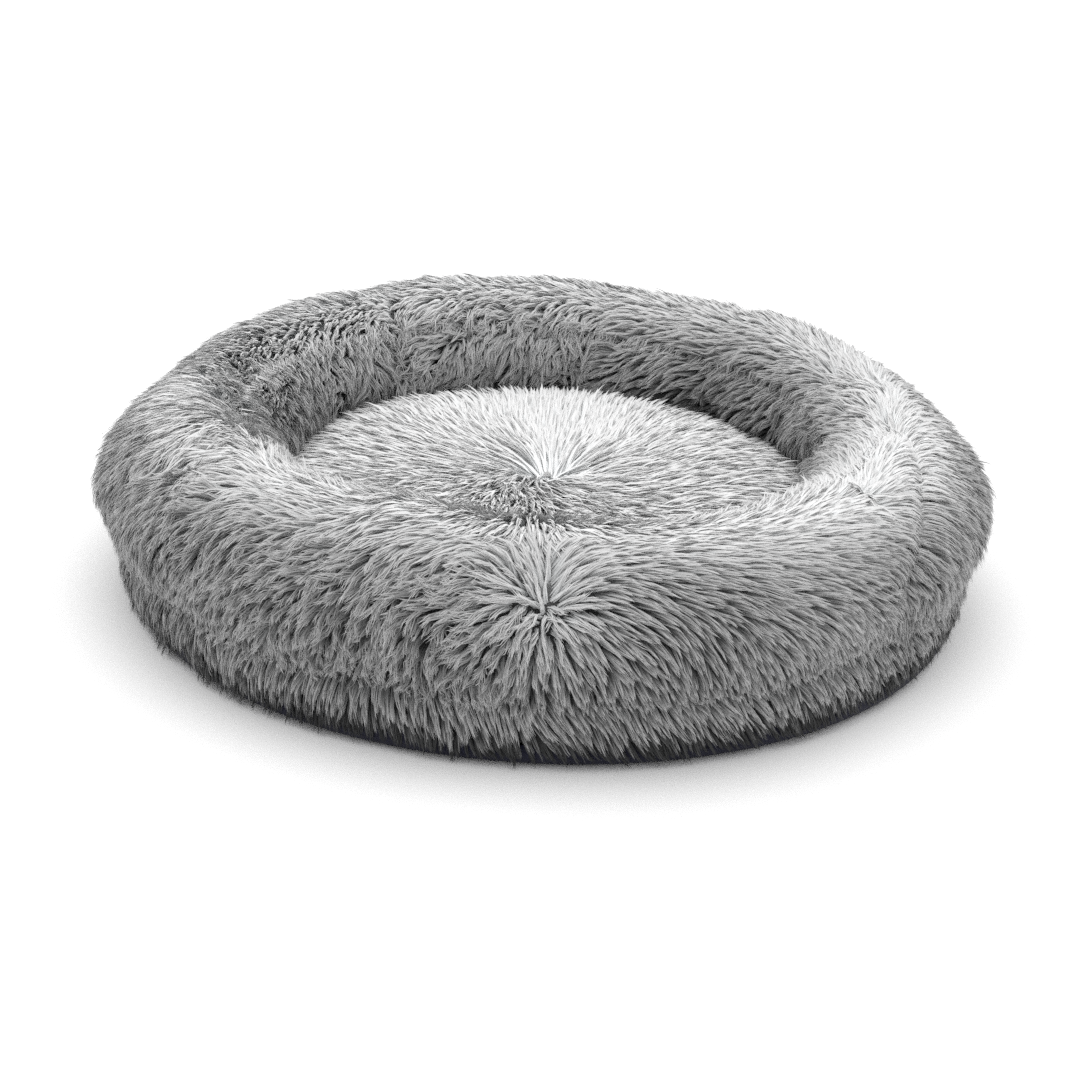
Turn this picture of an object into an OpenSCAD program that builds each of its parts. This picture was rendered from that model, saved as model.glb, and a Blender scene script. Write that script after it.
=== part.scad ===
// Round donut pet bed. A fur ring bolster sits on a low fur-sided mattress, around a domed nest
// cushion that a cord draws in at its centre. The underside is dark cloth, and a zip in the rear
// lower seam opens the mattress.
// Origin: centre of the underside, on the floor. +Z is up, -Y is the front, +Y is the rear.
// Fur is modelled as its cloth backing and its combed pile together, as one thickness.

/* [Overall] */
// Diameter of the bed, over the pile
bed_d = 700; // [560:10:900]
// Height of the bed, over the pile
bed_h = 165; // [150:1:210]

/* [Fur] */
// Thickness of the fur, backing and combed pile together
pile_t = 20; // [16:1:26]

/* [Ring bolster] */
// Width of the ring, from the nest's edge to the outside
ring_w = 147; // [120:1:180]
// Height of the ring's widest line above the mattress
ring_bulge_h = 33; // [26:1:42]
// How far below its widest line the ring's side would close, if the mattress didn't cut it off
ring_low_reach = 60; // [52:1:80]
// Roundness of the ring's upper half, where 2 is an ellipse
ring_top_power = 1.8; // [1.6:0.1:2.4]

/* [Mattress] */
// Height of the mattress, floor to its top seam
mattress_h = 55; // [44:1:68]
// How far the mattress stands in from the ring's outside
mattress_inset = 15; // [12:1:20]
// Height of the dark cloth's turned-up edge
turn_up_h = 18; // [15:1:22]
// Radius of the dark cloth's lower corner
turn_up_r = 11; // [8:1:14]
// Thickness of the dark base cloth
base_cloth_t = 1.2; // [1:0.1:1.6]

/* [Nest cushion] */
// Height of the nest's edge above the mattress
nest_edge_h = 31; // [24:1:40]
// Rise of the nest's dome above its edge
nest_dome_h = 14; // [10:1:20]
// Depth of the dimple that the tuft cord draws in
dimple_depth = 10; // [6:1:14]
// Radius of that dimple
dimple_r = 26; // [18:1:36]
// Diameter of the tuft cord
tuft_cord_d = 3; // [2:0.5:4]
// Diameter of the patch that the tuft cord is knotted behind
tuft_patch_d = 40; // [30:1:60]

/* [Linings] */
// Thickness of the non-woven casings
liner_t = 0.8; // [0.6:0.1:1.2]
// Thickness of the lining cloth on top of the mattress
deck_t = 1; // [0.8:0.1:1.4]

/* [Grip dots] */
// Diameter of one dot
dot_d = 8; // [6:1:10]
// Depth of a dot in the base cloth
dot_depth = 0.6; // [0.4:0.1:0.8]
// Distance between dots
dot_pitch = 45; // [36:1:60]

/* [Zip] */
// Angle that the chain spans, as seen from the bed's axis
zip_span = 110; // [90:1:130]
// Height of the chain's centre line above the dark cloth's edge
zip_rise = 7; // [6.5:0.5:8]
// Width of one tape
tape_w = 11; // [9:1:12]
// Thickness of a tape
tape_t = 0.8; // [0.6:0.1:1]
// Diameter of one coil
coil_d = 2; // [1.8:0.1:2.4]
// Length of the slider along the chain
slider_l = 13; // [11:1:16]
// Width of the slider, across the chain
slider_w = 10; // [9:0.5:11]
// Wall of the slider's plates
slider_wall = 1.4; // [1.2:0.1:1.8]
// Length of the pull, from its pin to its end
pull_l = 26; // [20:1:34]
// Width of the pull
pull_w = 8; // [6.5:0.5:10]
// Thickness of the pull
pull_t = 1.6; // [1.2:0.1:2]

/* [Care label] */
// Width of the label
label_w = 30; // [24:1:40]
// Length of the label that hangs out of the seam
label_l = 36; // [30:1:40]

/* [Hidden] */

$fn = 96;
eps = 0.01;

// gap between cushions that lie against each other
soft_gap = 0.3;
// running gap around the slider and its pull
slide_gap = 0.4;
// overlap that makes a cut go right through
cut = 2;

fur_color = [0.78, 0.79, 0.79];
lining_color = [0.93, 0.93, 0.91];
fill_color = [0.97, 0.97, 0.96];
cloth_color = [0.09, 0.09, 0.15];
zip_color = [0.13, 0.13, 0.17];
metal_color = [0.55, 0.56, 0.58];

// ring
panel_count = 5;
panel_angle = 360 / panel_count;
front_seam_angle = -90;
ring_r = bed_d / 2 - ring_w / 2;
ring_widest_z = mattress_h + ring_bulge_h;
ring_top_h = bed_h - ring_widest_z;
section_step = 6;

// nest
nest_r = ring_r - ring_w / 2 - soft_gap;
nest_edge_z = mattress_h + nest_edge_h;
nest_steps = 24;
nest_side_power = 5;
tuft_hole_r = tuft_cord_d / 2 + 0.2;
tuft_patch_t = 1.5;
knot_r = tuft_cord_d * 1.2;
knot_gap = 0.3;

// mattress
band_r = bed_d / 2 - mattress_inset;
band_bulge = 4;
band_inner_r = band_r - pile_t;
cloth_r = band_r - 8;
deck_z = mattress_h - deck_t;

// zip, in distances from the bed's axis
zip_z = turn_up_h + zip_rise;
tape_out_r = cloth_r - base_cloth_t - 0.1;
tape_in_r = tape_out_r - tape_t;
coil_r = coil_d / 2;
coil_gap = 0.1;
coil_center_r = tape_out_r + coil_r + coil_gap / 2;
tape_gap = 0.6;
zip_rear_angle = 90;
zip_open_angle = zip_rear_angle - zip_span / 2;
zip_closed_angle = zip_rear_angle + zip_span / 2;
stop_w = 3;
stop_h = 2 * coil_d + 1.6;
stop_angle = 360 * stop_w / (2 * PI * coil_center_r);
slider_half_angle = 360 * (slider_l / 2 + slide_gap) / (2 * PI * coil_center_r);
slider_angle = zip_closed_angle - stop_angle - slider_half_angle;
front_plate_r = coil_center_r + coil_r + slide_gap;
rear_plate_r = tape_in_r - slide_gap - slider_wall;
rim_t = 1.3;
rim_r = tape_out_r + slide_gap;

// groove in the mattress side that the tapes and the slider run in
slider_headroom = 4;
zip_groove_r = rear_plate_r - slide_gap;
zip_groove_top = zip_z + slider_w / 2 + slider_headroom;
// past each end of the tapes the groove leaves room for the pull, which lies either way
groove_past_angle = 360 * pull_l / (2 * PI * coil_center_r);
zip_groove_angle = zip_span + 2 * groove_past_angle;
tape_bottom_z = zip_z - tape_gap / 2 - tape_w;
tape_top_z = zip_z + tape_gap / 2 + tape_w;

// slider's bridge and the pull that hangs in it
bridge_l = 9;
bridge_w = 3;
bridge_post = 1.5;
bridge_bar = 1.4;
pin_r = 0.9;
pin_center_r = front_plate_r + slider_wall + slide_gap + pin_r;
bridge_in_r = pin_center_r + pin_r + slide_gap;
bridge_out_r = bridge_in_r + bridge_bar;
eye_half_w = bridge_w / 2 + slide_gap;
eye_l = norm([bridge_l / 2, bridge_out_r - pin_center_r]) + slide_gap + 0.2;

// label
label_t = 0.8;
label_angle = 158;

function signed_power(v, p) = sign(v) * pow(abs(v), p);

// Outline of the ring's section, drawn in by inset: a squarish upper half on an elliptical lower one
function ring_outline(inset) = [
    for (t = [0:section_step:360 - section_step])
        let (
            p = t < 180 ? ring_top_power : 2,
            reach = t < 180 ? ring_top_h : ring_low_reach
        )
        [
            ring_r + (ring_w / 2 - inset) * signed_power(cos(t), 2 / p),
            ring_widest_z + (reach - inset) * signed_power(sin(t), 2 / p)
        ]
];

// Height of the nest's fur surface at a distance from its centre
function nest_top(r) = nest_edge_z
    + nest_dome_h * (1 - pow(r / nest_r, nest_side_power))
    - dimple_depth * exp(-pow(r / dimple_r, 2));

// Outline of the nest's surface, lowered by drop, from the tuft hole to an edge radius
function nest_line(edge_r, drop) = [
    for (i = [0:nest_steps])
        let (r = tuft_hole_r + (edge_r - tuft_hole_r) * i / nest_steps)
        [r, nest_top(r) - drop]
];

function reversed(points) = [for (i = [len(points) - 1:-1:0]) points[i]];

module sector(from_angle, angle) {
    rotate([0, 0, from_angle])
        rotate_extrude(angle = angle)
            children();
}

// Section of the ring above the mattress, drawn in by inset
module ring_section(inset) {
    intersection() {
        polygon(ring_outline(inset));
        translate([0, mattress_h])
            square([bed_d, bed_h]);
    }
}

// Room inside the fur: the inset section above its widest line, and straight walls below it
module ring_hollow(inset) {
    half_w = ring_w / 2 - inset;
    intersection() {
        polygon(ring_outline(inset));
        translate([0, ring_widest_z])
            square([bed_d, bed_h]);
    }
    translate([ring_r - half_w, mattress_h - pile_t + inset])
        square([2 * half_w, ring_bulge_h + pile_t - inset + eps]);
}

module ring_panel(index) {
    color(fur_color)
        sector(front_seam_angle + index * panel_angle, panel_angle)
            difference() {
                ring_section(0);
                ring_hollow(pile_t);
            }
}

module ring_panel_front_right() {
    ring_panel(0);
}

module ring_panel_right() {
    ring_panel(1);
}

module ring_panel_back() {
    ring_panel(2);
}

module ring_panel_left() {
    ring_panel(3);
}

module ring_panel_front_left() {
    ring_panel(4);
}

// Casing of the ring's fibre: it rests on the deck and against the fur's backing
module ring_liner() {
    color(lining_color)
        rotate_extrude()
            difference() {
                ring_hollow(pile_t);
                ring_hollow(pile_t + liner_t);
            }
}

module ring_fill() {
    color(fill_color)
        rotate_extrude()
            ring_hollow(pile_t + liner_t);
}

// Fur top of the nest, sewn to the ring at its edge and drawn to the cord at its centre
module nest_cover() {
    color(fur_color)
        rotate_extrude()
            polygon(concat(nest_line(nest_r, 0), reversed(nest_line(nest_r, pile_t))));
}

module nest_pad_section(inset, hole_r) {
    difference() {
        polygon(concat(
            nest_line(nest_r - inset, pile_t + inset),
            [[nest_r - inset, mattress_h + inset], [tuft_hole_r, mattress_h + inset]]
        ));
        square([hole_r, bed_h]);
    }
}

module nest_liner() {
    color(lining_color)
        rotate_extrude()
            difference() {
                nest_pad_section(0, tuft_hole_r);
                nest_pad_section(liner_t, tuft_hole_r + liner_t);
            }
}

module nest_fill() {
    color(fill_color)
        rotate_extrude()
            nest_pad_section(liner_t, tuft_hole_r + liner_t);
}

// Cord through the nest, knotted in the dimple and under the patch below the deck
module tuft_cord() {
    top_z = nest_top(knot_r) + knot_gap;
    patch_z = deck_z - tuft_patch_t;
    color(lining_color) {
        translate([0, 0, patch_z - knot_r / 2])
            cylinder(d = tuft_cord_d, h = top_z - patch_z + knot_r);
        translate([0, 0, top_z])
            tuft_knot();
        translate([0, 0, patch_z])
            mirror([0, 0, 1])
                tuft_knot();
    }
}

// Half a ball, flat side down
module tuft_knot() {
    difference() {
        sphere(r = knot_r);
        translate([0, 0, -knot_r])
            cube(2 * knot_r, center = true);
    }
}

module tuft_anchor_patch() {
    color(lining_color)
        translate([0, 0, deck_z - tuft_patch_t])
            difference() {
                cylinder(d = tuft_patch_d, h = tuft_patch_t);
                translate([0, 0, -cut])
                    cylinder(r = tuft_hole_r, h = tuft_patch_t + 2 * cut);
            }
}

// Lining cloth on the mattress, sewn in with the ring's hem
module deck_lining() {
    color(lining_color)
        translate([0, 0, deck_z])
            difference() {
                cylinder(r = band_inner_r, h = deck_t);
                translate([0, 0, -cut])
                    cylinder(r = tuft_hole_r, h = deck_t + 2 * cut);
            }
}

// Outline of the dark cloth's cup, drawn in by inset and filled up to top_z
module cup_section(inset, top_z) {
    translate([0, inset])
        square([cloth_r - turn_up_r, top_z - inset]);
    translate([0, turn_up_r])
        square([cloth_r - inset, top_z - turn_up_r]);
    translate([cloth_r - turn_up_r, turn_up_r])
        intersection() {
            circle(r = turn_up_r - inset);
            translate([-turn_up_r, -turn_up_r])
                square([2 * turn_up_r, turn_up_r]);
        }
}

module base_panel() {
    color(cloth_color)
        difference() {
            rotate_extrude()
                difference() {
                    cup_section(0, turn_up_h);
                    cup_section(base_cloth_t, turn_up_h + cut);
                }
            dot_array(cut);
        }
}

// Rings of dots, each one dot_pitch further out, with six more dots than the last
module dot_array(below) {
    ring_total = floor((cloth_r - turn_up_r - dot_d) / dot_pitch);
    translate([0, 0, -below])
        cylinder(d = dot_d, h = dot_depth + below);
    for (ring = [1:ring_total], i = [0:6 * ring - 1])
        rotate([0, 0, 360 * i / (6 * ring)])
            translate([ring * dot_pitch, 0, -below])
                cylinder(d = dot_d, h = dot_depth + below);
}

module grip_dots() {
    color(zip_color)
        dot_array(0);
}

// Room inside the mattress: the cup below, the fur band's backing above, the deck on top
module mattress_section(inset) {
    difference() {
        cup_section(base_cloth_t + inset, turn_up_h - inset);
        translate([zip_groove_r - inset, tape_bottom_z - soft_gap - inset])
            square([bed_d, bed_h]);
    }
    translate([0, turn_up_h / 2])
        square([band_inner_r - inset, deck_z - turn_up_h / 2 - inset]);
}

// Room for the cord's lower knot and its patch
module tuft_pocket(gap) {
    translate([0, 0, deck_z - tuft_patch_t - knot_r - gap])
        cylinder(d = tuft_patch_d + 2 * gap, h = bed_h);
}

module base_liner() {
    color(lining_color)
        difference() {
            rotate_extrude()
                mattress_section(0);
            rotate_extrude()
                mattress_section(liner_t);
            tuft_pocket(soft_gap);
        }
}

module base_fill() {
    color(fill_color)
        difference() {
            rotate_extrude()
                mattress_section(liner_t);
            tuft_pocket(soft_gap + liner_t);
        }
}

// Fur around the mattress, with a straight-backed groove for the zip at the rear
module side_band() {
    height = mattress_h - turn_up_h;
    outside = [
        for (i = [0:nest_steps])
            let (s = i / nest_steps)
            [band_r - band_bulge * pow(2 * s - 1, 2), turn_up_h + height * s]
    ];
    color(fur_color)
        difference() {
            rotate_extrude()
                polygon(concat(
                    outside,
                    [[band_inner_r, mattress_h], [band_inner_r, turn_up_h]]
                ));
            sector(zip_rear_angle - zip_groove_angle / 2, zip_groove_angle) {
                translate([zip_groove_r, 0])
                    square([bed_d, zip_groove_top]);
                translate([tape_in_r - soft_gap, 0])
                    square([tape_t + 2 * soft_gap, tape_top_z + soft_gap]);
            }
        }
}

module zip_tape(low_z) {
    color(zip_color)
        sector(zip_open_angle, zip_span)
            translate([tape_in_r, low_z])
                square([tape_t, tape_w]);
}

module zip_tape_upper() {
    zip_tape(tape_top_z - tape_w);
}

module zip_tape_lower() {
    zip_tape(tape_bottom_z);
}

// A coil as the smooth bead that its turns fill, between the two stops
module zip_coil(center_z) {
    color(zip_color)
        sector(zip_open_angle + stop_angle, zip_span - 2 * stop_angle)
            translate([coil_center_r, center_z])
                circle(r = coil_r);
}

module zip_coil_upper() {
    zip_coil(zip_z + coil_r + coil_gap / 2);
}

module zip_coil_lower() {
    zip_coil(zip_z - coil_r - coil_gap / 2);
}

module zip_stop(from_angle) {
    color(metal_color)
        sector(from_angle, stop_angle)
            translate([tape_out_r, zip_z - stop_h / 2])
                square([coil_d + coil_gap, stop_h]);
}

module zip_top_stop() {
    zip_stop(zip_closed_angle - stop_angle);
}

module zip_bottom_stop() {
    zip_stop(zip_open_angle);
}

// A place on the chain: +X points away from the bed's axis and +Y along the chain
module at_slider() {
    rotate([0, 0, slider_angle])
        translate([0, 0, zip_z])
            children();
}

module slider_plate(inner_r) {
    translate([inner_r, -slider_l / 2, -slider_w / 2])
        cube([slider_wall, slider_l, slider_w]);
}

module zip_slider() {
    color(metal_color)
        at_slider() {
            slider_plate(front_plate_r);
            slider_plate(rear_plate_r);
            for (side = [0, 1])
                mirror([0, 0, side])
                    translate([rim_r, -slider_l / 2, slider_w / 2 - rim_t])
                        cube([front_plate_r - rim_r + eps, slider_l, rim_t]);
            slider_bridge();
        }
}

module slider_bridge() {
    base_r = front_plate_r + slider_wall - eps;
    for (side = [0, 1])
        mirror([0, side, 0])
            translate([base_r, bridge_l / 2 - bridge_post, -bridge_w / 2])
                cube([bridge_out_r - base_r, bridge_post, bridge_w]);
    translate([bridge_in_r, -bridge_l / 2, -bridge_w / 2])
        cube([bridge_bar, bridge_l, bridge_w]);
}

// Pull lying back along the closed chain, with its pin in the bridge
module zip_pull() {
    color(metal_color)
        at_slider()
            translate([pin_center_r, 0, 0])
                mirror([0, 1, 0]) {
                    translate([0, 0, -pull_w / 2])
                        cylinder(r = pin_r, h = pull_w);
                    pull_plate();
                }
}

// Flat of the pull along +Y, with an eye for the bridge and a hole near its round end
module pull_plate() {
    end_y = pull_l - pull_w / 2;
    difference() {
        union() {
            translate([-pull_t / 2, 0, -pull_w / 2])
                cube([pull_t, end_y, pull_w]);
            translate([-pull_t / 2, end_y, 0])
                rotate([0, 90, 0])
                    cylinder(d = pull_w, h = pull_t);
        }
        translate([-cut, -cut, -eye_half_w])
            cube([2 * cut, eye_l + cut, 2 * eye_half_w]);
        translate([-cut, end_y, 0])
            rotate([0, 90, 0])
                cylinder(d = pull_w / 2, h = 2 * cut);
    }
}

// Blank folded label that hangs out of the seam under the ring's hem
module care_label() {
    half_angle = 180 * label_w / 2 / (PI * band_r);
    color(lining_color)
        sector(label_angle - half_angle, 2 * half_angle)
            translate([band_r + soft_gap, mattress_h - label_l])
                square([label_t, label_l]);
}

ring_panel_front_left();
ring_panel_front_right();
ring_panel_right();
ring_panel_back();
ring_panel_left();
ring_liner();
ring_fill();
nest_cover();
nest_liner();
nest_fill();
tuft_cord();
tuft_anchor_patch();
deck_lining();
side_band();
base_liner();
base_fill();
base_panel();
grip_dots();
zip_tape_upper();
zip_tape_lower();
zip_coil_upper();
zip_coil_lower();
zip_top_stop();
zip_bottom_stop();
zip_slider();
zip_pull();
care_label();
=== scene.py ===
"""Visual model of a round fur donut pet bed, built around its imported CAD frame.

Lengths are in metres and angles of azimuth in degrees from +X, as seen from above. The front is -Y.
The pile is real geometry: blades in pointed locks, rooted on the body surfaces of the ring, the
nest and the side band, and combed along a direction field with whorls at the pinches.
"""
import math

import bpy
import numpy as np
from mathutils import Matrix, Vector


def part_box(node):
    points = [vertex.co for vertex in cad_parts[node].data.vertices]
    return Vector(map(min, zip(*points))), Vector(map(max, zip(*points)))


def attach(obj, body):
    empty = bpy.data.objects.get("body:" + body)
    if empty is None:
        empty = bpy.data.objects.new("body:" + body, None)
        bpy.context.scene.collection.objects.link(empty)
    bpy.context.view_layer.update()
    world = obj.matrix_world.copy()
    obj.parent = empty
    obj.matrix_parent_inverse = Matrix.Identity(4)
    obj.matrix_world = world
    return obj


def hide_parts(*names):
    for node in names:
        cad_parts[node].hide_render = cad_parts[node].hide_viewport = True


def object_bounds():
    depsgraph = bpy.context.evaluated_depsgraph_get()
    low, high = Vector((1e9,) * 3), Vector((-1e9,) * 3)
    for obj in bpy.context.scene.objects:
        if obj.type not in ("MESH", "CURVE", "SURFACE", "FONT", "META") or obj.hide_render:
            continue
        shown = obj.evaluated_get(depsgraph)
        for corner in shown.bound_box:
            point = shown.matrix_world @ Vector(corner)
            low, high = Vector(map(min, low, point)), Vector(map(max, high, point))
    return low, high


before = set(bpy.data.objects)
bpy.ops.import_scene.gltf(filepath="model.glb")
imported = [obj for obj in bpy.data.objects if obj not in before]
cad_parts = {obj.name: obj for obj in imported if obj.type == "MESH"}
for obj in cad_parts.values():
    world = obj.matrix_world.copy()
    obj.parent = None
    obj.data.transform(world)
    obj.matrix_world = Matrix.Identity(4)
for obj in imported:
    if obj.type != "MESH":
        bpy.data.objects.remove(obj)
cad_bounds = [[float(v) for v in corner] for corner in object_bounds()]

BODY = "bed"
SEED = 20
MM = 0.001


# ---------------------------------------------------------------- sizes, from the frame


def extent(node):
    """A node's lowest and highest corners, as arrays."""
    low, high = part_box(node)
    return np.array(low, float), np.array(high, float)


BED_R = cad_bounds[1][0]
BED_H = cad_bounds[1][2]
NEST_R = extent("nest_cover")[1][0]
MATTRESS_H = extent("side_band")[1][2]
BAND_R = extent("side_band")[1][0]
TURN_UP_H = extent("base_panel")[1][2]
CLOTH_R = extent("base_panel")[1][0]
DECK_R = extent("deck_lining")[1][0]
DECK_Z = extent("deck_lining")[0][2]
TAPE_TOP_Z = extent("zip_tape_upper")[1][2]
TAPE_BOTTOM_Z = extent("zip_tape_lower")[0][2]

RING_R = (BED_R + NEST_R) / 2
RING_HALF_W = (BED_R - NEST_R) / 2
RING_BULGE_H = 0.033
RING_WIDEST_Z = MATTRESS_H + RING_BULGE_H
RING_LOW_REACH = 0.060
RING_TOP_POWER = 1.62
NEST_EDGE_Z = MATTRESS_H + 0.031
NEST_DOME_H = 0.014
DIMPLE_DEPTH = 0.006
DIMPLE_R = 0.026
CUP_R = 0.011
CLOTH_T = 0.0012
PANEL_DEGREES = 72.0
FRONT_SEAM = -90.0

# depth of the pile over its cloth backing
RING_PILE = 0.0130
NEST_PILE = 0.0120
BAND_PILE = 0.0085
ZIP_BAND_PILE = 0.0122
BACKING_T = 0.0018


# ---------------------------------------------------------------- camera, light and floor


def add_camera():
    """A low view, slightly rolled, from the front, with no lens shift."""
    elevation, roll = math.radians(23.2), math.radians(2.8)
    distance, lens = 1.829, 76.9
    target = Vector((0, 0, 0.080))
    target_right, target_up = 0.0055, 0.0469
    away = Vector((0, -math.cos(elevation), math.sin(elevation)))
    level = Vector((1, 0, 0))
    upright = away.cross(level)
    right = level * math.cos(roll) + upright * math.sin(roll)
    up = upright * math.cos(roll) - level * math.sin(roll)
    place = target - right * target_right - up * target_up + away * distance
    data = bpy.data.cameras.new("camera")
    data.lens = lens
    data.sensor_width = 36.0
    data.clip_start, data.clip_end = 0.05, 60.0
    camera = bpy.data.objects.new("camera", data)
    axes = Matrix((right, up, away)).transposed()
    camera.matrix_world = Matrix.Translation(place) @ axes.to_4x4()
    bpy.context.scene.collection.objects.link(camera)
    bpy.context.scene.camera = camera


def add_light():
    """A wide soft light from above and a little behind, and a weak even fill."""
    data = bpy.data.lights.new("overhead", "SUN")
    data.energy = 2.05
    data.angle = math.radians(90)
    data.color = (1.0, 1.0, 1.0)
    light = bpy.data.objects.new("overhead", data)
    toward = Vector((-0.05, 0.04, 1.0)).normalized()
    light.rotation_euler = toward.to_track_quat("Z", "Y").to_euler()
    bpy.context.scene.collection.objects.link(light)
    world = bpy.data.worlds.new("studio")
    world.use_nodes = True
    background = world.node_tree.nodes["Background"]
    background.inputs["Color"].default_value = (1.0, 1.0, 1.0, 1.0)
    background.inputs["Strength"].default_value = 0.80
    bpy.context.scene.world = world


def add_floor():
    """A plain pale floor, far wider than the view."""
    radius, sides = 14.0, 96
    points = [(0.0, 0.0, 0.0)]
    for i in range(sides):
        turn = 2 * math.pi * i / sides
        points.append((radius * math.cos(turn), radius * math.sin(turn), 0.0))
    faces = [(0, 1 + i, 1 + (i + 1) % sides) for i in range(sides)]
    mesh = bpy.data.meshes.new("floor")
    mesh.from_pydata(points, [], faces)
    floor = bpy.data.objects.new("floor", mesh)
    bpy.context.scene.collection.objects.link(floor)
    floor.location.z = -0.0003
    material = bpy.data.materials.new("floor_paint")
    material.use_nodes = True
    shader = material.node_tree.nodes["Principled BSDF"]
    shader.inputs["Base Color"].default_value = (0.90, 0.90, 0.90, 1)
    shader.inputs["Roughness"].default_value = 0.9
    shader.inputs["Specular IOR Level"].default_value = 0.1
    mesh.materials.append(material)


def set_picture():
    """Plain colour, and few light bounces, which is enough for soft grey fibre."""
    scene = bpy.context.scene
    scene.view_settings.view_transform = "Standard"
    scene.view_settings.look = "None"
    scene.cycles.max_bounces = 5
    scene.cycles.diffuse_bounces = 4
    scene.cycles.glossy_bounces = 2
    scene.cycles.use_denoising = False


add_camera()
add_light()
add_floor()
set_picture()


# ---------------------------------------------------------------- materials


class Nodes:
    """Short calls that add and join shader nodes of one material."""

    def __init__(self, name):
        self.material = bpy.data.materials.new(name)
        self.material.use_nodes = True
        self.tree = self.material.node_tree
        self.shader = self.tree.nodes["Principled BSDF"]

    def add(self, kind, **values):
        node = self.tree.nodes.new(kind)
        for key, value in values.items():
            if hasattr(node, key):
                setattr(node, key, value)
            else:
                node.inputs[key.replace("_", " ")].default_value = value
        return node

    def join(self, source, target):
        self.tree.links.new(source, target)

    def set(self, **values):
        for key, value in values.items():
            self.shader.inputs[key.replace("_", " ")].default_value = value

    def ramp(self, source, stops):
        node = self.add("ShaderNodeValToRGB")
        elements = node.color_ramp.elements
        while len(elements) < len(stops):
            elements.new(0.5)
        for element, (place, color) in zip(elements, stops):
            element.position = place
            element.color = (*color, 1.0)
        self.join(source, node.inputs["Fac"])
        return node.outputs["Color"]

    def place(self):
        """The point's place on its piece, which rides on the bed from the origin."""
        return self.add("ShaderNodeTexCoord").outputs["Object"]

    def noise(self, scale, detail=3.0, roughness=0.55):
        node = self.add("ShaderNodeTexNoise", Scale=scale, Detail=detail, Roughness=roughness)
        self.join(self.place(), node.inputs["Vector"])
        return node.outputs["Fac"]

    def wave(self, scale, direction):
        node = self.add("ShaderNodeTexWave", wave_type="BANDS", bands_direction=direction, Scale=scale)
        self.join(self.place(), node.inputs["Vector"])
        return node.outputs["Fac"]

    def math(self, operation, a, b):
        node = self.add("ShaderNodeMath", operation=operation)
        for socket, value in zip(node.inputs, (a, b)):
            if isinstance(value, (int, float)):
                socket.default_value = value
            else:
                self.join(value, socket)
        return node.outputs[0]

    def bump(self, height, strength, distance):
        node = self.add("ShaderNodeBump", Strength=strength, Distance=distance)
        self.join(height, node.inputs["Height"])
        self.join(node.outputs["Normal"], self.shader.inputs["Normal"])

    def color(self, source):
        self.join(source, self.shader.inputs["Base Color"])


def grey(value, tint=(1.0, 1.0, 1.0)):
    return tuple(value * t for t in tint)


COOL = (0.985, 1.0, 1.005)
PILE_UV = "OFBake"


def pile_material():
    """Shag: roots to tips run along V, and U goes from blades with painted shade, whose roots are near
    black, to blades with painted light, whose roots are paler than their tips.
    """
    m = Nodes("shag_pile")
    place = m.add("ShaderNodeUVMap", uv_map=PILE_UV)
    parts = m.add("ShaderNodeSeparateXYZ")
    m.join(place.outputs["UV"], parts.inputs["Vector"])
    along = parts.outputs["Y"]
    # painted shade: the dark ramp's near-black roots stand in for the shade between locks and on shaded
    # sides; painted light: the pale ramp's roots are lighter than its tips, to undo the shade between
    # blades
    shaded_root, shaded_mid = grey(0.010, COOL), grey(0.045, COOL)
    lit_root, lit_mid = grey(0.86, COOL), grey(0.83, COOL)
    shaded_stops = [(0.0, shaded_root), (0.40, shaded_mid), (0.72, grey(0.19)), (1.0, grey(0.55))]
    lit_stops = [(0.0, lit_root), (0.35, lit_mid), (0.70, grey(0.75)), (1.0, grey(0.68))]
    shaded_ramp, lit_ramp = m.ramp(along, shaded_stops), m.ramp(along, lit_stops)
    mix = m.add("ShaderNodeMix", data_type="RGBA")
    m.join(parts.outputs["X"], mix.inputs[0])
    m.join(shaded_ramp, mix.inputs[6])
    m.join(lit_ramp, mix.inputs[7])
    m.color(mix.outputs[2])
    m.set(Roughness=0.65, Specular_IOR_Level=0.15, Sheen_Weight=0.15, Sheen_Roughness=0.4)
    return m.material


def backing_material(name, painted_lightness):
    """Dense underwool on its knitted backing, dark as painted shade between the locks and paler on the
    crown as painted light; a given amount of painted light is added all over.
    """
    m = Nodes(name)
    fuzz = m.noise(900.0, 6.0, 0.7)
    clumps = m.noise(120.0, 3.0)
    place = m.add("ShaderNodeSeparateXYZ")
    m.join(m.place(), place.inputs["Vector"])
    # painted light: the backing turns paler towards the crown's height, where the light falls
    painted_crown_light = m.add("ShaderNodeMapRange", From_Min=0.115, From_Max=0.150, To_Min=painted_lightness, To_Max=0.85)
    m.join(place.outputs["Z"], painted_crown_light.inputs["Value"])
    both = m.math("ADD", m.math("MULTIPLY", fuzz, clumps), painted_crown_light.outputs["Result"])
    m.color(m.ramp(both, [(0.10, grey(0.02, COOL)), (0.42, grey(0.12, COOL)), (1.0, grey(0.55, COOL))]))
    m.bump(fuzz, 0.8, 0.002)
    m.set(Roughness=0.95, Specular_IOR_Level=0.1, Sheen_Weight=0.2)
    return m.material


def oxford_material():
    """Dark navy Oxford cloth: a fine basket weave with a slight coated sheen."""
    m = Nodes("oxford_cloth")
    over = m.wave(260.0, "X")
    under = m.wave(260.0, "Y")
    rise = m.wave(260.0, "Z")
    weave = m.math("MULTIPLY", m.math("ADD", over, rise), m.math("ADD", under, rise))
    wear = m.noise(14.0, 4.0)
    shade = m.math("ADD", m.math("MULTIPLY", weave, 0.12), m.math("MULTIPLY", wear, 0.5))
    m.color(m.ramp(shade, [(0.15, (0.004, 0.004, 0.012)), (0.75, (0.016, 0.017, 0.040))]))
    m.bump(weave, 0.5, 0.0004)
    m.set(Roughness=0.62, Specular_IOR_Level=0.22, Sheen_Weight=0.02)
    return m.material


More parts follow.
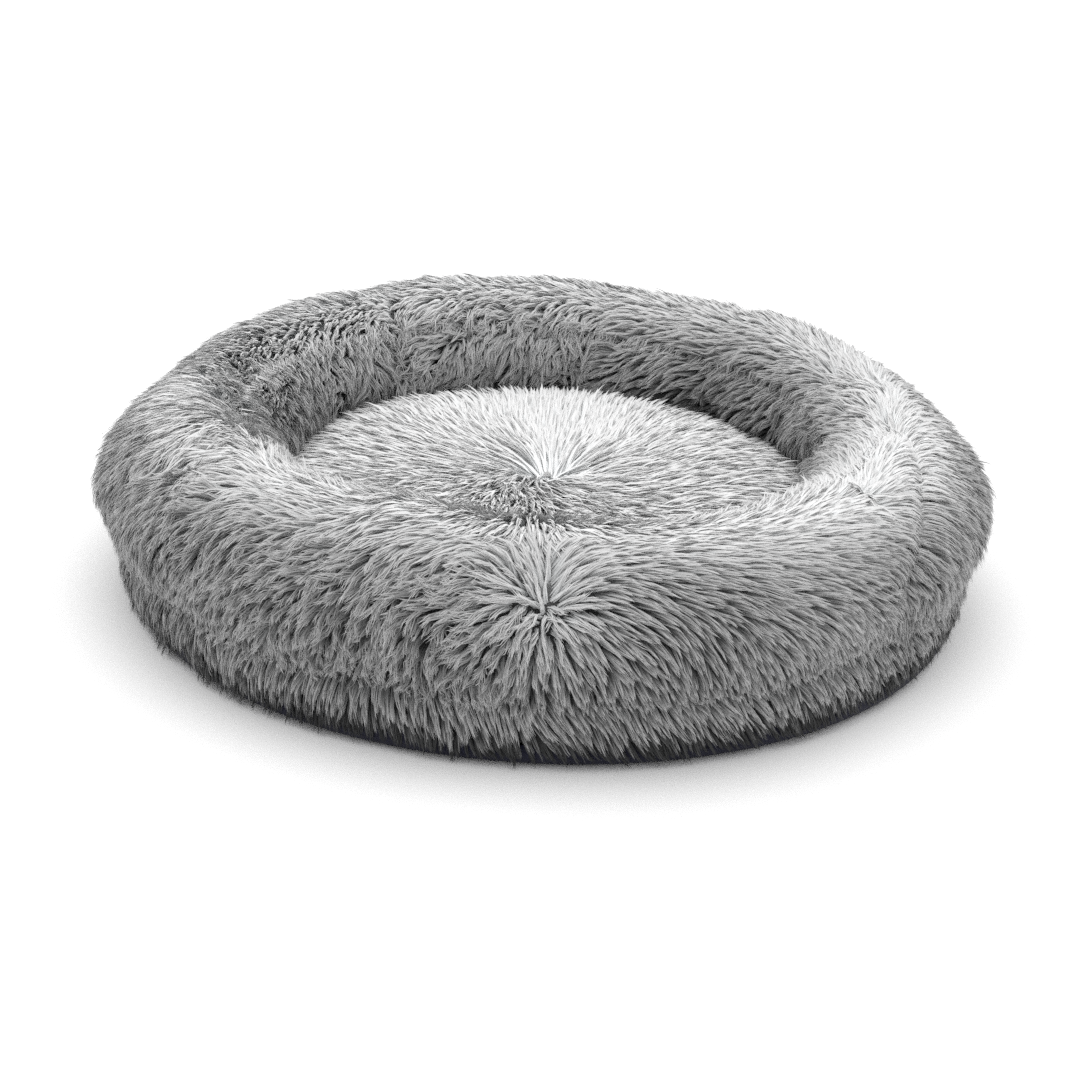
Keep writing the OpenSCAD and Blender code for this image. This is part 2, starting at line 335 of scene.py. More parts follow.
def non_woven_material():
    """Spun-bonded casing: white, with a grid of small pressed points."""
    m = Nodes("non_woven")
    cells = m.add("ShaderNodeTexVoronoi", Scale=480.0)
    m.join(m.place(), cells.inputs["Vector"])
    fibres = m.noise(260.0, 5.0, 0.7)
    m.color(m.ramp(fibres, [(0.3, (0.62, 0.62, 0.60)), (0.7, (0.80, 0.80, 0.78))]))
    m.bump(cells.outputs["Distance"], 0.5, 0.0006)
    m.set(Roughness=0.85, Specular_IOR_Level=0.2, Sheen_Weight=0.1)
    return m.material


def fibre_material():
    """Hollow polyester fibre: soft white clumps."""
    m = Nodes("hollow_fibre")
    clumps = m.noise(45.0, 5.0, 0.65)
    strands = m.noise(420.0, 6.0, 0.75)
    height = m.math("ADD", clumps, m.math("MULTIPLY", strands, 0.5))
    m.color(m.ramp(height, [(0.45, (0.70, 0.70, 0.69)), (0.95, (0.90, 0.90, 0.89))]))
    m.bump(height, 1.0, 0.004)
    m.set(Roughness=1.0, Specular_IOR_Level=0.05, Sheen_Weight=0.35)
    return m.material


def webbing_material():
    """Zip tape: a tight herringbone of dark yarn."""
    m = Nodes("zip_webbing")
    warp = m.wave(420.0, "DIAGONAL")
    weft = m.wave(300.0, "Z")
    weave = m.math("MULTIPLY", warp, weft)
    m.color(m.ramp(weave, [(0.0, (0.006, 0.006, 0.012)), (0.8, (0.030, 0.031, 0.046))]))
    m.bump(weave, 0.6, 0.0003)
    m.set(Roughness=0.8, Specular_IOR_Level=0.25, Sheen_Weight=0.1)
    return m.material


def metal_material():
    """Gunmetal plating, rubbed a little brighter in patches."""
    m = Nodes("gunmetal")
    rubbed = m.noise(180.0, 4.0)
    m.color(m.ramp(rubbed, [(0.35, (0.20, 0.205, 0.22)), (0.75, (0.40, 0.405, 0.42))]))
    m.bump(m.noise(2500.0, 2.0), 0.15, 0.0001)
    m.set(Metallic=1.0, Roughness=0.33)
    return m.material


def simple_material(name, texture, stops, relief, **values):
    """A material whose colour, and relief if it has any, follow one noise or wave texture."""
    m = Nodes(name)
    kind, *settings = texture
    height = m.noise(*settings) if kind == "noise" else m.wave(*settings)
    m.color(m.ramp(height, stops))
    if relief:
        m.bump(height, *relief)
    m.set(**values)
    return m.material


PILE = pile_material()
# painted shade and light: a dark backing for the ring and the band, paler on the crown, and a pale, lit one
# for the nest
SHADED_BACKING = backing_material("pile_backing_shaded", 0.0)
LIT_BACKING = backing_material("nest_backing_lit", 0.75)
OXFORD = oxford_material()
NON_WOVEN = non_woven_material()
FIBRE = fibre_material()
CORD = simple_material(
    "twisted_cord",
    ("wave", 300.0, "DIAGONAL"),
    [(0.0, grey(0.42)), (1.0, grey(0.68))],
    (0.8, 0.0006),
    Roughness=0.8,
    Specular_IOR_Level=0.2,
)
RUBBER = simple_material(
    "printed_rubber",
    ("noise", 700.0, 3.0),
    [(0.3, (0.012, 0.012, 0.016)), (0.7, (0.030, 0.030, 0.036))],
    (0.3, 0.0002),
    Roughness=0.55,
    Specular_IOR_Level=0.4,
)
WEBBING = webbing_material()
NYLON = simple_material(
    "zip_nylon",
    ("noise", 60.0, 2.0),
    [(0.3, (0.010, 0.010, 0.015)), (0.7, (0.022, 0.022, 0.030))],
    None,
    Roughness=0.28,
    Specular_IOR_Level=0.5,
)
METAL = metal_material()
SATIN = simple_material(
    "label_satin",
    ("wave", 500.0, "Z"),
    [(0.0, grey(0.66)), (1.0, grey(0.80))],
    (0.3, 0.0002),
    Roughness=0.38,
    Specular_IOR_Level=0.5,
    Sheen_Weight=0.1,
)
THREAD = simple_material(
    "sewing_thread",
    ("wave", 900.0, "DIAGONAL"),
    [(0.0, (0.015, 0.016, 0.030)), (1.0, (0.050, 0.052, 0.075))],
    (0.5, 0.0002),
    Roughness=0.6,
    Specular_IOR_Level=0.35,
    Sheen_Weight=0.1,
)


# ---------------------------------------------------------------- mesh helpers


def add_piece(name, points, faces, material, slot, uv=None, normals=None):
    """A smooth-shaded mesh piece that rides on the bed. faces is an array of 3 or 4 columns."""
    points, faces = np.asarray(points, np.float32), np.asarray(faces, np.int32)
    count, sides = faces.shape
    mesh = bpy.data.meshes.new(name)
    mesh.vertices.add(len(points))
    mesh.vertices.foreach_set("co", points.ravel())
    mesh.loops.add(count * sides)
    mesh.loops.foreach_set("vertex_index", faces.ravel())
    mesh.polygons.add(count)
    mesh.polygons.foreach_set("loop_start", np.arange(0, count * sides, sides, dtype=np.int32))
    mesh.polygons.foreach_set("use_smooth", np.ones(count, bool))
    if uv is not None:
        layer = mesh.uv_layers.new(name=PILE_UV)
        layer.data.foreach_set("uv", np.asarray(uv, np.float32)[faces.ravel()].ravel())
    mesh.update(calc_edges=True)
    mesh.validate()
    if normals is not None:
        mesh.normals_split_custom_set_from_vertices(normals)
    mesh.materials.append(material)
    piece = bpy.data.objects.new(name, mesh)
    bpy.context.scene.collection.objects.link(piece)
    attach(piece, BODY)
    return piece


def grid_faces(rows, columns, closed_rows, closed_columns):
    """Quads over a grid of points that is stored row by row."""
    i = np.arange(rows if closed_rows else rows - 1)
    j = np.arange(columns if closed_columns else columns - 1)
    i, j = np.meshgrid(i, j, indexing="ij")
    i2, j2 = (i + 1) % rows, (j + 1) % columns
    corners = [i * columns + j, i * columns + j2, i2 * columns + j2, i2 * columns + j]
    return np.stack([c.ravel() for c in corners], axis=1)


def end_caps(rows, columns):
    """Quads that close the first and the last row of a grid whose columns run round a thin form."""
    j = np.arange(columns // 2 - 1)
    cap = np.stack([j, j + 1, columns - 2 - j, columns - 1 - j], axis=1)
    return np.concatenate([cap[:, ::-1], cap + (rows - 1) * columns])


def outward(points, faces):
    """The same faces, turned so that a closed form's normals point out of it."""
    corners = np.asarray(points)[np.asarray(faces)]
    volume = 0.0
    for k in range(1, corners.shape[1] - 1):
        volume += np.einsum("ij,ij->", corners[:, 0], np.cross(corners[:, k], corners[:, k + 1]))
    return faces if volume > 0 else faces[:, ::-1]


def capped(grid):
    """Points and triangles of a closed form: rows go round it, and each end closes on a point."""
    rows, columns = grid.shape[:2]
    quads = grid_faces(rows, columns, True, False)
    points = np.concatenate([grid.reshape(-1, 3), [grid[:, 0].mean(0), grid[:, -1].mean(0)]])
    i = np.arange(rows)
    here, after = i * columns, (i + 1) % rows * columns
    start, end = np.full(rows, rows * columns), np.full(rows, rows * columns + 1)
    faces = np.concatenate(
        [
            quads[:, [0, 1, 2]],
            quads[:, [0, 2, 3]],
            np.stack([start, after, here], axis=1),
            np.stack([end, here + columns - 1, after + columns - 1], axis=1),
        ]
    )
    return points, outward(points, faces)


def looped(grid):
    """Points and quads of a form that closes both round its rows and along them."""
    points = grid.reshape(-1, 3)
    return points, outward(points, grid_faces(grid.shape[0], grid.shape[1], True, True))


def nested(outer, inner):
    """A thin hollow form from two closed ones."""
    points, faces = outer
    inner_points, inner_faces = inner
    faces = np.concatenate([faces, inner_faces[:, ::-1] + len(points)])
    return np.concatenate([points, inner_points]), faces


def turned(profile, sides, swell=None):
    """A grid of a profile of (radius, height) turned about the middle, swollen outwards by swell."""
    profile = np.asarray(profile, float)
    turn = np.linspace(0, 2 * math.pi, sides + 1)[:-1, None]
    r, z = profile[None, :, 0] + 0 * turn, profile[None, :, 1] + 0 * turn
    if swell is not None:
        r = r + swell(turn, z)
    return np.stack([r * np.cos(turn), r * np.sin(turn), z], axis=-1)


def tube(path, radius, sides=6):
    """Points and triangles of a round thread along a path, closed at both ends."""
    path = np.asarray(path, float)
    tangent = np.gradient(path, axis=0)
    tangent /= np.linalg.norm(tangent, axis=1, keepdims=True)
    aside = np.cross(tangent, [0.12, 0.05, 0.99])
    aside /= np.linalg.norm(aside, axis=1, keepdims=True)
    above = np.cross(aside, tangent)
    turn = np.linspace(0, 2 * math.pi, sides + 1)[:-1, None, None]
    return capped(path[None] + radius * (np.cos(turn) * aside[None] + np.sin(turn) * above[None]))


def together(forms):
    """Several closed forms as one list of points and triangles."""
    points, faces, count = [], [], 0
    for form_points, form_faces in forms:
        points.append(form_points)
        faces.append(form_faces + count)
        count += len(form_points)
    return np.concatenate(points), np.concatenate(faces)


def smoothstep(low, high, value):
    t = np.clip((value - low) / (high - low), 0, 1)
    return t * t * (3 - 2 * t)


def bell(value, width):
    """1 at 0, falling off smoothly on both sides over the width."""
    return np.exp(-((value / width) ** 2))


def follow(value, table):
    """What a table of (place, amount) gives at a value, blended between its places."""
    return np.interp(value, *zip(*table))


def signed_power(value, power):
    return np.sign(value) * np.abs(value) ** power


def angle_gap(a, b):
    """a - b in degrees, from -180 to 180."""
    return (a - b + 180.0) % 360.0 - 180.0


class Lattice:
    """Smooth seeded noise in space, from -1 to 1, with several channels."""

    def __init__(self, seed, channels=3, size=32):
        self.size = size
        self.values = np.random.default_rng(seed).uniform(-1, 1, (size, size, size, channels))

    def __call__(self, points, cell):
        place = np.asarray(points) / cell
        whole = np.floor(place).astype(int)
        part = place - whole
        part = part * part * (3 - 2 * part)
        total = 0
        for corner in np.ndindex(2, 2, 2):
            share = np.prod(np.where(corner, part, 1 - part), axis=-1)
            index = (whole + corner) % self.size
            picked = self.values[index[..., 0], index[..., 1], index[..., 2]]
            total = total + picked * share[..., None]
        return total


# ---------------------------------------------------------------- body surfaces under the pile


class Surface:
    """A body surface with two coordinates. spread(a, b) is the length of one unit of a."""

    def normal(self, a, b):
        step = 0.0015
        across = step / self.spread(a, b)
        da = self.base(a + across, b) - self.base(a - across, b)
        db = self.base(a, b + step) - self.base(a, b - step)
        n = np.cross(da, db)
        return n / np.maximum(np.linalg.norm(n, axis=-1, keepdims=True), 1e-12)

    def point(self, a, b, height):
        return self.base(a, b) + self.normal(a, b) * height[..., None]


# Pinches of the ring: places along the section (0 at the hem, 1 at the nest), their azimuths,
# depths in mm, and half-width in mm. Azimuth and depth are blended between two places.
PINCHES = [
    ([0.06, 0.27, 0.46, 0.62], [270, 270, 269, 268], [0, 7, 4, 0], 22),
    ([0.02, 0.20, 0.40, 0.62, 0.85, 1.0], [322, 321, 333, 352, 4, 15], [10, 15, 7, 5, 14, 18], 17),
    ([0.60, 0.85, 1.0], [52, 53, 54], [0, 7, 16], 17),
    ([0.90, 1.0], [27, 27], [2, 12], 12),
    ([0.55, 0.78, 1.0], [80, 81, 84], [3, 9, 8], 15),
    ([0.50, 0.78, 1.0], [118, 123, 131], [2, 10, 15], 17),
    ([0.90, 1.0], [142, 142], [2, 13], 12),
    ([0.05, 0.25, 0.42, 0.60], [199, 205, 213, 214], [5, 5, 8, 0], 19),
    ([0.90, 1.0], [104, 104], [1, 9], 14),
    ([0.0, 0.3, 0.6], [126, 126, 124], [9, 6, 2], 18),
    ([0.0, 0.3, 0.6], [54, 54, 53], [8, 6, 2], 18),
]

# Broad unevenness of the stuffed ring: waves around, waves across, height in mm and phase
RING_LUMPS = [
    (3, 0.6, 1.6, 0.4),
    (5, 1.0, 1.5, 2.1),
    (7, -1.0, 1.3, 4.0),
    (11, 2.0, 1.0, 1.2),
    (16, -2.5, 0.7, 5.1),
]

# Where the stuffing is fuller or thinner: azimuth, width in degrees, place, reach, height in mm
RING_BULGES = [
    (205, 30, 0.12, 0.16, 4.0),
    (335, 30, 0.30, 0.25, -6.0),
    (80, 35, 0.55, 0.20, 3.5),
    (165, 26, 0.40, 0.22, -7.0),
    (10, 26, 0.40, 0.22, -5.0),
]


class Ring(Surface):
    """The ring's body: a is azimuth in radians, b is the length along the section from the hem."""

    tail = 0.04

    def __init__(self, inset):
        half_w, top = RING_HALF_W - inset, BED_H - RING_WIDEST_Z - inset
        hem = -math.asin((RING_WIDEST_Z - MATTRESS_H - 0.002) / RING_LOW_REACH)
        t = np.linspace(hem, math.pi + math.radians(6), 700)
        low = (t < 0) | (t > math.pi)
        power = np.where(low, 2.0, RING_TOP_POWER)
        reach = np.where(low, RING_LOW_REACH, top)
        r = RING_R + half_w * signed_power(np.cos(t), 2 / power)
        z = RING_WIDEST_Z + reach * signed_power(np.sin(t), 2 / power)
        r = np.concatenate([[r[0] - 0.002], r, [r[-1]]])
        z = np.concatenate([[z[0] - self.tail], z, [z[-1] - self.tail]])
        run = np.concatenate([[0], np.cumsum(np.hypot(np.diff(r), np.diff(z)))])
        self.run = run - run[1]
        self.length = float(self.run[-2])
        self.r, self.z = r, z
        dr, dz = np.gradient(r, self.run), np.gradient(z, self.run)
        size = np.hypot(dr, dz)
        self.nr, self.nz = dz / size, -dr / size

    def section(self, b):
        return [np.interp(b, self.run, v) for v in (self.r, self.z, self.nr, self.nz)]

    def spread(self, a, b):
        return np.interp(b, self.run, self.r)

    def swell(self, a, b):
        """How far the body stands out of its even section."""
        share = np.clip(b / self.length, 0, 1)
        degrees = np.degrees(a)
        out = np.zeros_like(share)
        for around, across, height, phase in RING_LUMPS:
            out += height * MM * np.sin(around * a + across * 3.0 * share + phase)
        for azimuth, width, place, reach, height in RING_BULGES:
            away = (angle_gap(degrees, azimuth) / width) ** 2 + ((share - place) / reach) ** 2
            out += height * MM * np.exp(-away)
        r = self.spread(a, b)
        for places, azimuths, depths, half_width in PINCHES:
            azimuth = np.interp(share, places, azimuths)
            depth = np.interp(share, places, depths, left=0.0) * MM
            away = np.radians(angle_gap(degrees, azimuth)) * r / (half_width * MM)
            out -= depth * np.exp(-away * away)
        return out

    def base(self, a, b):
        r, z, nr, nz = self.section(b)
        out = self.swell(a, b)
        r, z = r + out * nr, z + out * nz
        return np.stack([r * np.cos(a), r * np.sin(a), z], axis=-1)


# The same for the nest: waves along x, waves along y, height in mm and phase
NEST_LUMPS = [
    (11.0, 7.0, 1.3, 0.3),
    (-17.0, 21.0, 1.2, 2.2),
    (35.0, 12.0, 0.9, 4.4),
    (9.0, -41.0, 0.8, 1.0),
]


class Nest(Surface):
    """The nest cushion's top: a and b are x and y."""

    def __init__(self, inset):
        self.inset = inset

    def spread(self, a, b):
        return np.ones_like(a)

    def base(self, a, b):
        r = np.hypot(a, b)
        share = r / NEST_R
        z = NEST_EDGE_Z - self.inset + NEST_DOME_H * (1 - np.minimum(share, 1.2) ** 5)
        z = z - DIMPLE_DEPTH * bell(r, DIMPLE_R)
        for fx, fy, height, phase in NEST_LUMPS:
            z = z + height * MM * np.sin(fx * a + fy * b + phase)
        return np.stack([a, b, z], axis=-1)


# Where the zip runs in the side band
ZIP_AZIMUTHS = (29.0, 151.0)


def over_zip(degrees):
    """1 where the side band is above the zip, fading to 0 just past its ends."""
    low, high = ZIP_AZIMUTHS
    degrees = degrees % 360.0
    return smoothstep(low - 5, low, degrees) * (1 - smoothstep(high, high + 3, degrees))


class Band(Surface):
    """The mattress's side: a is azimuth in radians, b is height."""

    bulge = 0.0025

    def spread(self, a, b):
        return np.full_like(a, BAND_R)

    def base(self, a, b):
        middle = (MATTRESS_H + TURN_UP_H) / 2
        half = (MATTRESS_H - TURN_UP_H) / 2
        inset = BAND_PILE + (ZIP_BAND_PILE - BAND_PILE) * over_zip(np.degrees(a))
        r = BAND_R - inset - self.bulge * np.minimum(((b - middle) / half) ** 2, 2.0)
        return np.stack([r * np.cos(a), r * np.sin(a), b], axis=-1)


# ---------------------------------------------------------------- lie of the pile

# Where the ring's pile radiates: azimuth, place along the section, radius in mm, strength
RING_WHORLS = [
    (270, 0.26, 40, 2.9),
    (20, 0.72, 28, 0.5),
    (323, 0.52, 30, 0.8),
    (213, 0.42, 22, 0.3),
    (124, 0.74, 22, 0.35),
    (82, 0.76, 20, 0.4),
]

# Combing along the ring: azimuth and how far the pile lies counterclockwise (+) or clockwise (-)
RING_COMB = [
    (0, 0.2), (14, 0.25), (30, 0.5), (54, 0.9), (75, 0.9), (84, 0.3), (100, 0.6), (118, 0.6),
    (128, 0.5), (150, 0.6), (185, 0.3), (206, 0.0), (222, -0.55), (250, -0.85), (266, -0.6),
    (274, 0.9), (290, 1.5), (315, 1.3), (324, 0.5), (340, 0.35), (360, 0.15),
]

# How tousled the pile is: azimuth, on the outside, and on the wall of the nest
RING_TOUSLE = [
    (0, 0.5, 0.7), (60, 0.5, 0.8), (90, 0.5, 1.7), (150, 0.5, 1.2), (195, 0.8, 0.9),
    (225, 1.4, 0.6), (262, 1.8, 0.4), (274, 0.6, 0.3), (320, 0.4, 0.3), (360, 0.5, 0.7),
]

# How sleek the crown is, from 0 to 1, with its azimuth
CROWN_SMOOTHNESS = [(0, 1.0), (60, 0.8), (120, 0.5), (200, 0.5), (240, 0.6), (262, 1.0), (360, 1.0)]

drift = Lattice(SEED + 1)
tuft_drift = Lattice(SEED + 2)


def add_whorls(whorls, flow_a, flow_b, soften):
    """Bends the flow away from each whorl's middle, and says how near one is."""
    near = np.zeros_like(flow_a)
    for a_away, b_away, radius, strength in whorls:
        distance = np.hypot(a_away, b_away)
        pull = strength * bell(distance, radius) / (distance + soften)
        flow_a = flow_a + pull * a_away
        flow_b = flow_b + pull * b_away
        near = np.maximum(near, bell(distance, 0.5 * radius))
    return flow_a, flow_b, near


# How far the ring's pile runs up (+) or down (-) the section, by place along it
RING_FALL = [(0, -1.5), (0.25, -1.05), (0.45, -0.55), (0.56, -0.1), (0.66, 0.25), (0.85, 0.7), (1, 0.6)]

# How pale the ring's pile is, as painted light and shade: by place along the section, pale on the lit crown
# and dark down the shaded hem and nest wall, and more or less by azimuth, lighter or darker by side
RING_PAINTED_LIGHT = [
    (0, 0.04), (0.12, 0.07), (0.25, 0.13), (0.36, 0.30), (0.46, 0.68),
    (0.56, 0.97), (0.64, 0.95), (0.74, 0.62), (0.86, 0.36), (1.0, 0.03),
]
RING_PAINTED_LIGHT_AROUND = [
    (0, -0.08), (40, -0.24), (90, -0.08), (140, 0.14), (180, 0.26), (225, 0.0),
    (270, -0.03), (290, 0.0), (310, 0.12), (340, 0.10), (360, -0.08),
]

# Azimuths of the front dimple and of the middle of the left side's rear
DIMPLE_AZIMUTH = 270
REAR_LEFT_AZIMUTH = 200
PILE_LENGTH = {"ring": 0.0225, "nest": 0.026, "band": 0.0195, "label": 0.012}


def ring_tousle(degrees, share, smooth):
    """How tousled the ring's pile is."""
    wall = smoothstep(0.62, 0.76, share)
    azimuths, outside, inside = zip(*RING_TOUSLE)
    outer, inner = np.interp(degrees, azimuths, outside), np.interp(degrees, azimuths, inside)
    return (outer * (1 - wall) + inner * wall) * (1 - 0.9 * smooth)


def ring_flow(degrees, share):
    """How the ring's pile runs around and along the section, but for its whorls."""
    flow_a = follow(degrees, RING_COMB)
    flow_a = flow_a * np.interp(share, [0, 0.15, 0.4, 1], [0.35, 0.6, 1.0, 1.0])
    parting = bell(angle_gap(degrees, DIMPLE_AZIMUTH), 20)
    parting = parting + 0.5 * bell(angle_gap(degrees, REAR_LEFT_AZIMUTH), 20)
    inward = 1.3 * parting * smoothstep(0.48, 0.58, share) * (1 - smoothstep(0.72, 0.90, share))
    return flow_a, follow(share, RING_FALL) - inward


def ring_nap(ring, a, b, rng):
    """How the ring's locks lie at (a, b): see grow_pile."""
    share = b / ring.length
    degrees = np.degrees(a) % 360.0
    smooth = bell(share - 0.53, 0.13) * follow(degrees, CROWN_SMOOTHNESS)
    tousle = ring_tousle(degrees, share, smooth)
    flow_a, flow_b = ring_flow(degrees, share)
    r = ring.spread(a, b)
    whorls = [
        (np.radians(angle_gap(degrees, azimuth)) * r, b - place * ring.length, radius * MM, strength)
        for azimuth, place, radius, strength in RING_WHORLS
    ]
    flow_a, flow_b, near = add_whorls(whorls, flow_a, flow_b, 0.016)
    tousle = tousle + 0.7 * near
    place = ring.base(a, b)
    wide, fine = drift(place, 0.055), tuft_drift(place, 0.014)
    noise = rng.standard_normal((6, len(a)))
    crossed = 2.5 * near**10
    length = PILE_LENGTH["ring"] * (1 + 0.12 * wide[:, 2]) * (1 + 0.10 * noise[0]) * (1 - 0.10 * smooth)
    length = length * np.interp(share, [0, 0.12, 0.3, 0.6, 1], [0.62, 0.74, 1.0, 1.0, 0.95])
    low = 1 - smoothstep(0.10, 0.30, share)
    fan = bell(angle_gap(degrees, DIMPLE_AZIMUTH), 7) * bell(share - 0.28, 0.13)
    # painted light and shade: the section and azimuth tables, the front fan and the whorl middles set the
    # paleness; the wide and fine drift and the noise are random tone
    tone_and_painted_light = follow(share, RING_PAINTED_LIGHT) + follow(degrees, RING_PAINTED_LIGHT_AROUND)
    tone_and_painted_light = tone_and_painted_light + 0.03 * near + 0.55 * fan + 0.07 * wide[:, 2] + 0.08 * tousle * fine[:, 1]
    return {
        "flow_a": flow_a + 0.30 * wide[:, 0] + 0.60 * tousle * fine[:, 0] + crossed * noise[4],
        "flow_b": flow_b + 0.30 * wide[:, 1] + 0.60 * tousle * fine[:, 1] + crossed * noise[5],
        "length": length,
        "lift": 56 + 12 * tousle * fine[:, 2] + 5 * noise[1] - 30 * smooth + 24 * near**8,
        "end_lift": 12 + 10 * tousle * fine[:, 1] - 10 * smooth,
        "curl": 0.0004 + 0.0018 * np.maximum(tousle - 0.6, 0),
        "tone_and_painted_light": tone_and_painted_light + 0.04 * noise[2],
        "clump": 0.75 * np.clip(0.4 + 0.6 * tousle, 0, 1.1) * (1 - smooth),
        "gather": 0.88 - 0.54 * smooth - 0.20 * low,
        "width": 1 + 0.85 * smooth - 0.10 * low,
    }


# Where the nest's pile radiates: x, y, radius and strength, in metres
NEST_WHORLS = [(-0.004, -0.014, 0.090, 1.0), (0.026, -0.050, 0.018, 0.4)]


def nest_nap(nest, a, b, rng):
    """The same for the nest's locks, which radiate from the tuft."""
    r = np.hypot(a, b) + 1e-6
    flow_a, flow_b = 0.75 * a / (r + 0.01), 0.75 * b / (r + 0.01)
    whorls = [(a - x, b - y, radius, strength) for x, y, radius, strength in NEST_WHORLS]
    flow_a, flow_b, near = add_whorls(whorls, flow_a, flow_b, 0.010)
    swirl = (0.4 + smoothstep(0.0, 0.04, -b)) * bell(r, 0.08) / (r + 0.01)
    flow_a, flow_b = flow_a - swirl * b, flow_b + swirl * a
    place = nest.base(a, b)
    wide, fine = drift(place, 0.05), tuft_drift(place, 0.014)
    front = smoothstep(0.0, 0.10, -b) * (1 - smoothstep(0.10, 0.16, np.abs(a)))
    tousle = 0.25 + 0.7 * near + 0.6 * front
    noise = rng.standard_normal((4, len(a)))
    # painted light: the nest's pile sits near the palest tone, as its top is lit, with random drift and
    # noise on it
    tone_and_painted_light = 0.97 + 0.03 * wide[:, 2] + 0.02 * noise[2] - 0.03 * front
    return {
        "flow_a": flow_a + 0.30 * wide[:, 0] + 0.9 * tousle * fine[:, 0],
        "flow_b": flow_b + 0.30 * wide[:, 1] + 0.9 * tousle * fine[:, 1],
        "length": (PILE_LENGTH["nest"] + 0.014 * near) * (1 + 0.10 * noise[0]),
        "lift": 31 + 12 * tousle * fine[:, 2] + 5 * noise[1] - 8 * near,
        "end_lift": 3 + 0 * near,
        "curl": 0.0004 + 0.0018 * near + 0.0006 * front,
        # painted shade: darker towards the nest's rim, in the ring wall's shade
        "tone_and_painted_light": tone_and_painted_light - 0.45 * smoothstep(0.88, 1.0, r / NEST_R),
        "clump": 0.10 + 0.6 * near + 0.3 * front,
        "gather": 0.45 + 0.38 * near + 0.10 * front,
        "width": 2.0 - 0.5 * near,
    }


LABEL_AZIMUTH = math.degrees(math.atan2(*(sum(extent("care_label"))[[1, 0]])))
LABEL_HALF_DEGREES = 3.6

# How far the side band's pile lies counterclockwise (+) or clockwise (-), by azimuth
BAND_COMB = [
    (0, 0.2), (60, 0.2), (120, -0.2), (180, 0.1), (215, 0.15),
    (250, 0.1), (262, 0.35), (290, 0.7), (330, 0.5), (360, 0.2),
]

# Where the cloth's dark edge shows most under the band's pile
DARK_EDGE_AZIMUTH = 326


def band_nap(band, a, b, rng):
    """The same for the side band's locks, which hang to the dark edge."""
    degrees = np.degrees(a) % 360.0
    above_zip = over_zip(degrees)
    comb = follow(degrees, BAND_COMB)
    place = band.base(a, b)
    wide, fine = drift(place, 0.05), tuft_drift(place, 0.013)
    dark_edge = bell(angle_gap(degrees, DARK_EDGE_AZIMUTH), 22)
    by_label = np.abs(angle_gap(degrees, LABEL_AZIMUTH)) < LABEL_HALF_DEGREES
    noise = rng.standard_normal((4, len(a)))
    length = PILE_LENGTH["band"] * (1 + 0.10 * noise[0]) * (1 + 0.1 * wide[:, 2])
    length = length * (1 - 0.22 * dark_edge) * (1 - 0.25 * above_zip)
    # painted shade: the band's pile is dark, a little lighter higher up, and darkest in the fringe along
    # the bottom edge
    fringe_shade = 1 - smoothstep(TURN_UP_H + 0.006, TURN_UP_H + 0.026, b)
    tone_and_painted_light = 0.10 + 0.05 * wide[:, 2] + 0.06 * noise[2] + 0.06 * smoothstep(0.02, 0.05, b) - 0.50 * fringe_shade
    return {
        "flow_a": comb + 0.25 * wide[:, 0] + 0.35 * fine[:, 0] + 1.6 * above_zip,
        "flow_b": -1.0 + 0.2 * wide[:, 1] + 0.25 * fine[:, 1] + 0.75 * above_zip,
        "length": np.where(by_label, PILE_LENGTH["label"], length),
        "lift": np.where(by_label, 16, 44 + 10 * fine[:, 2] + 5 * noise[1]),
        "end_lift": np.where(by_label, 0, 2),
        "curl": np.full_like(a, 0.0004),
        "tone_and_painted_light": tone_and_painted_light,
        "clump": np.where(by_label, 0.0, 0.35),
        "gather": np.full_like(a, 0.68),
        "width": np.full_like(a, 0.85),
    }


# ---------------------------------------------------------------- pile

BLADES_PER_LOCK = 10
LOCK_SPACING = 0.0041
LOCK_RADIUS = 0.0020
BLADE_WIDTH = 0.00105
CLUMP = 0.0085
SOFTNESS = 0.9
FLOOR_GAP = 0.0012

# A blade's stations from root to tip, and its widths at all of them but the pointed tip
STATIONS = np.array([0.0, 0.30, 0.58, 0.82, 1.0])
WIDTH_SHARES = np.array([0.7, 1.0, 0.85, 0.5])
BLADE_POINTS = 9


def blade_faces(count):
    """Triangles of count blades: three quads and a pointed tip over nine points each."""
    strip = []
    for i in range(3):
        left, right = 2 * i, 2 * i + 1
        strip += [(left, right, right + 2), (left, right + 2, left + 2)]
    strip.append((6, 7, 8))
    return (np.arange(count)[:, None, None] * BLADE_POINTS + np.array(strip)[None]).reshape(-1, 3)


def clump_pull(surface, a, b, cell, rng):
    """From each lock to the middle of the clump that it leans into, in the surface's two directions."""
    scale = surface.spread(a, b)
    u, v = a * scale.mean() / cell, b / cell
    jitter = rng.uniform(0.1, 0.9, (64, 64, 2))
    best = np.full(len(a), 1e9)
    pull_u, pull_v = np.zeros(len(a)), np.zeros(len(a))
    for i in (-1, 0, 1):
        for j in (-1, 0, 1):
            cell_u, cell_v = np.floor(u).astype(int) + i, np.floor(v).astype(int) + j
            middle = jitter[cell_u % 64, cell_v % 64]
            away_u, away_v = cell_u + middle[:, 0] - u, cell_v + middle[:, 1] - v
            distance = np.hypot(away_u, away_v)
            nearer = distance < best
            best = np.where(nearer, distance, best)
            pull_u, pull_v = np.where(nearer, away_u, pull_u), np.where(nearer, away_v, pull_v)
    return pull_u * cell, pull_v * cell


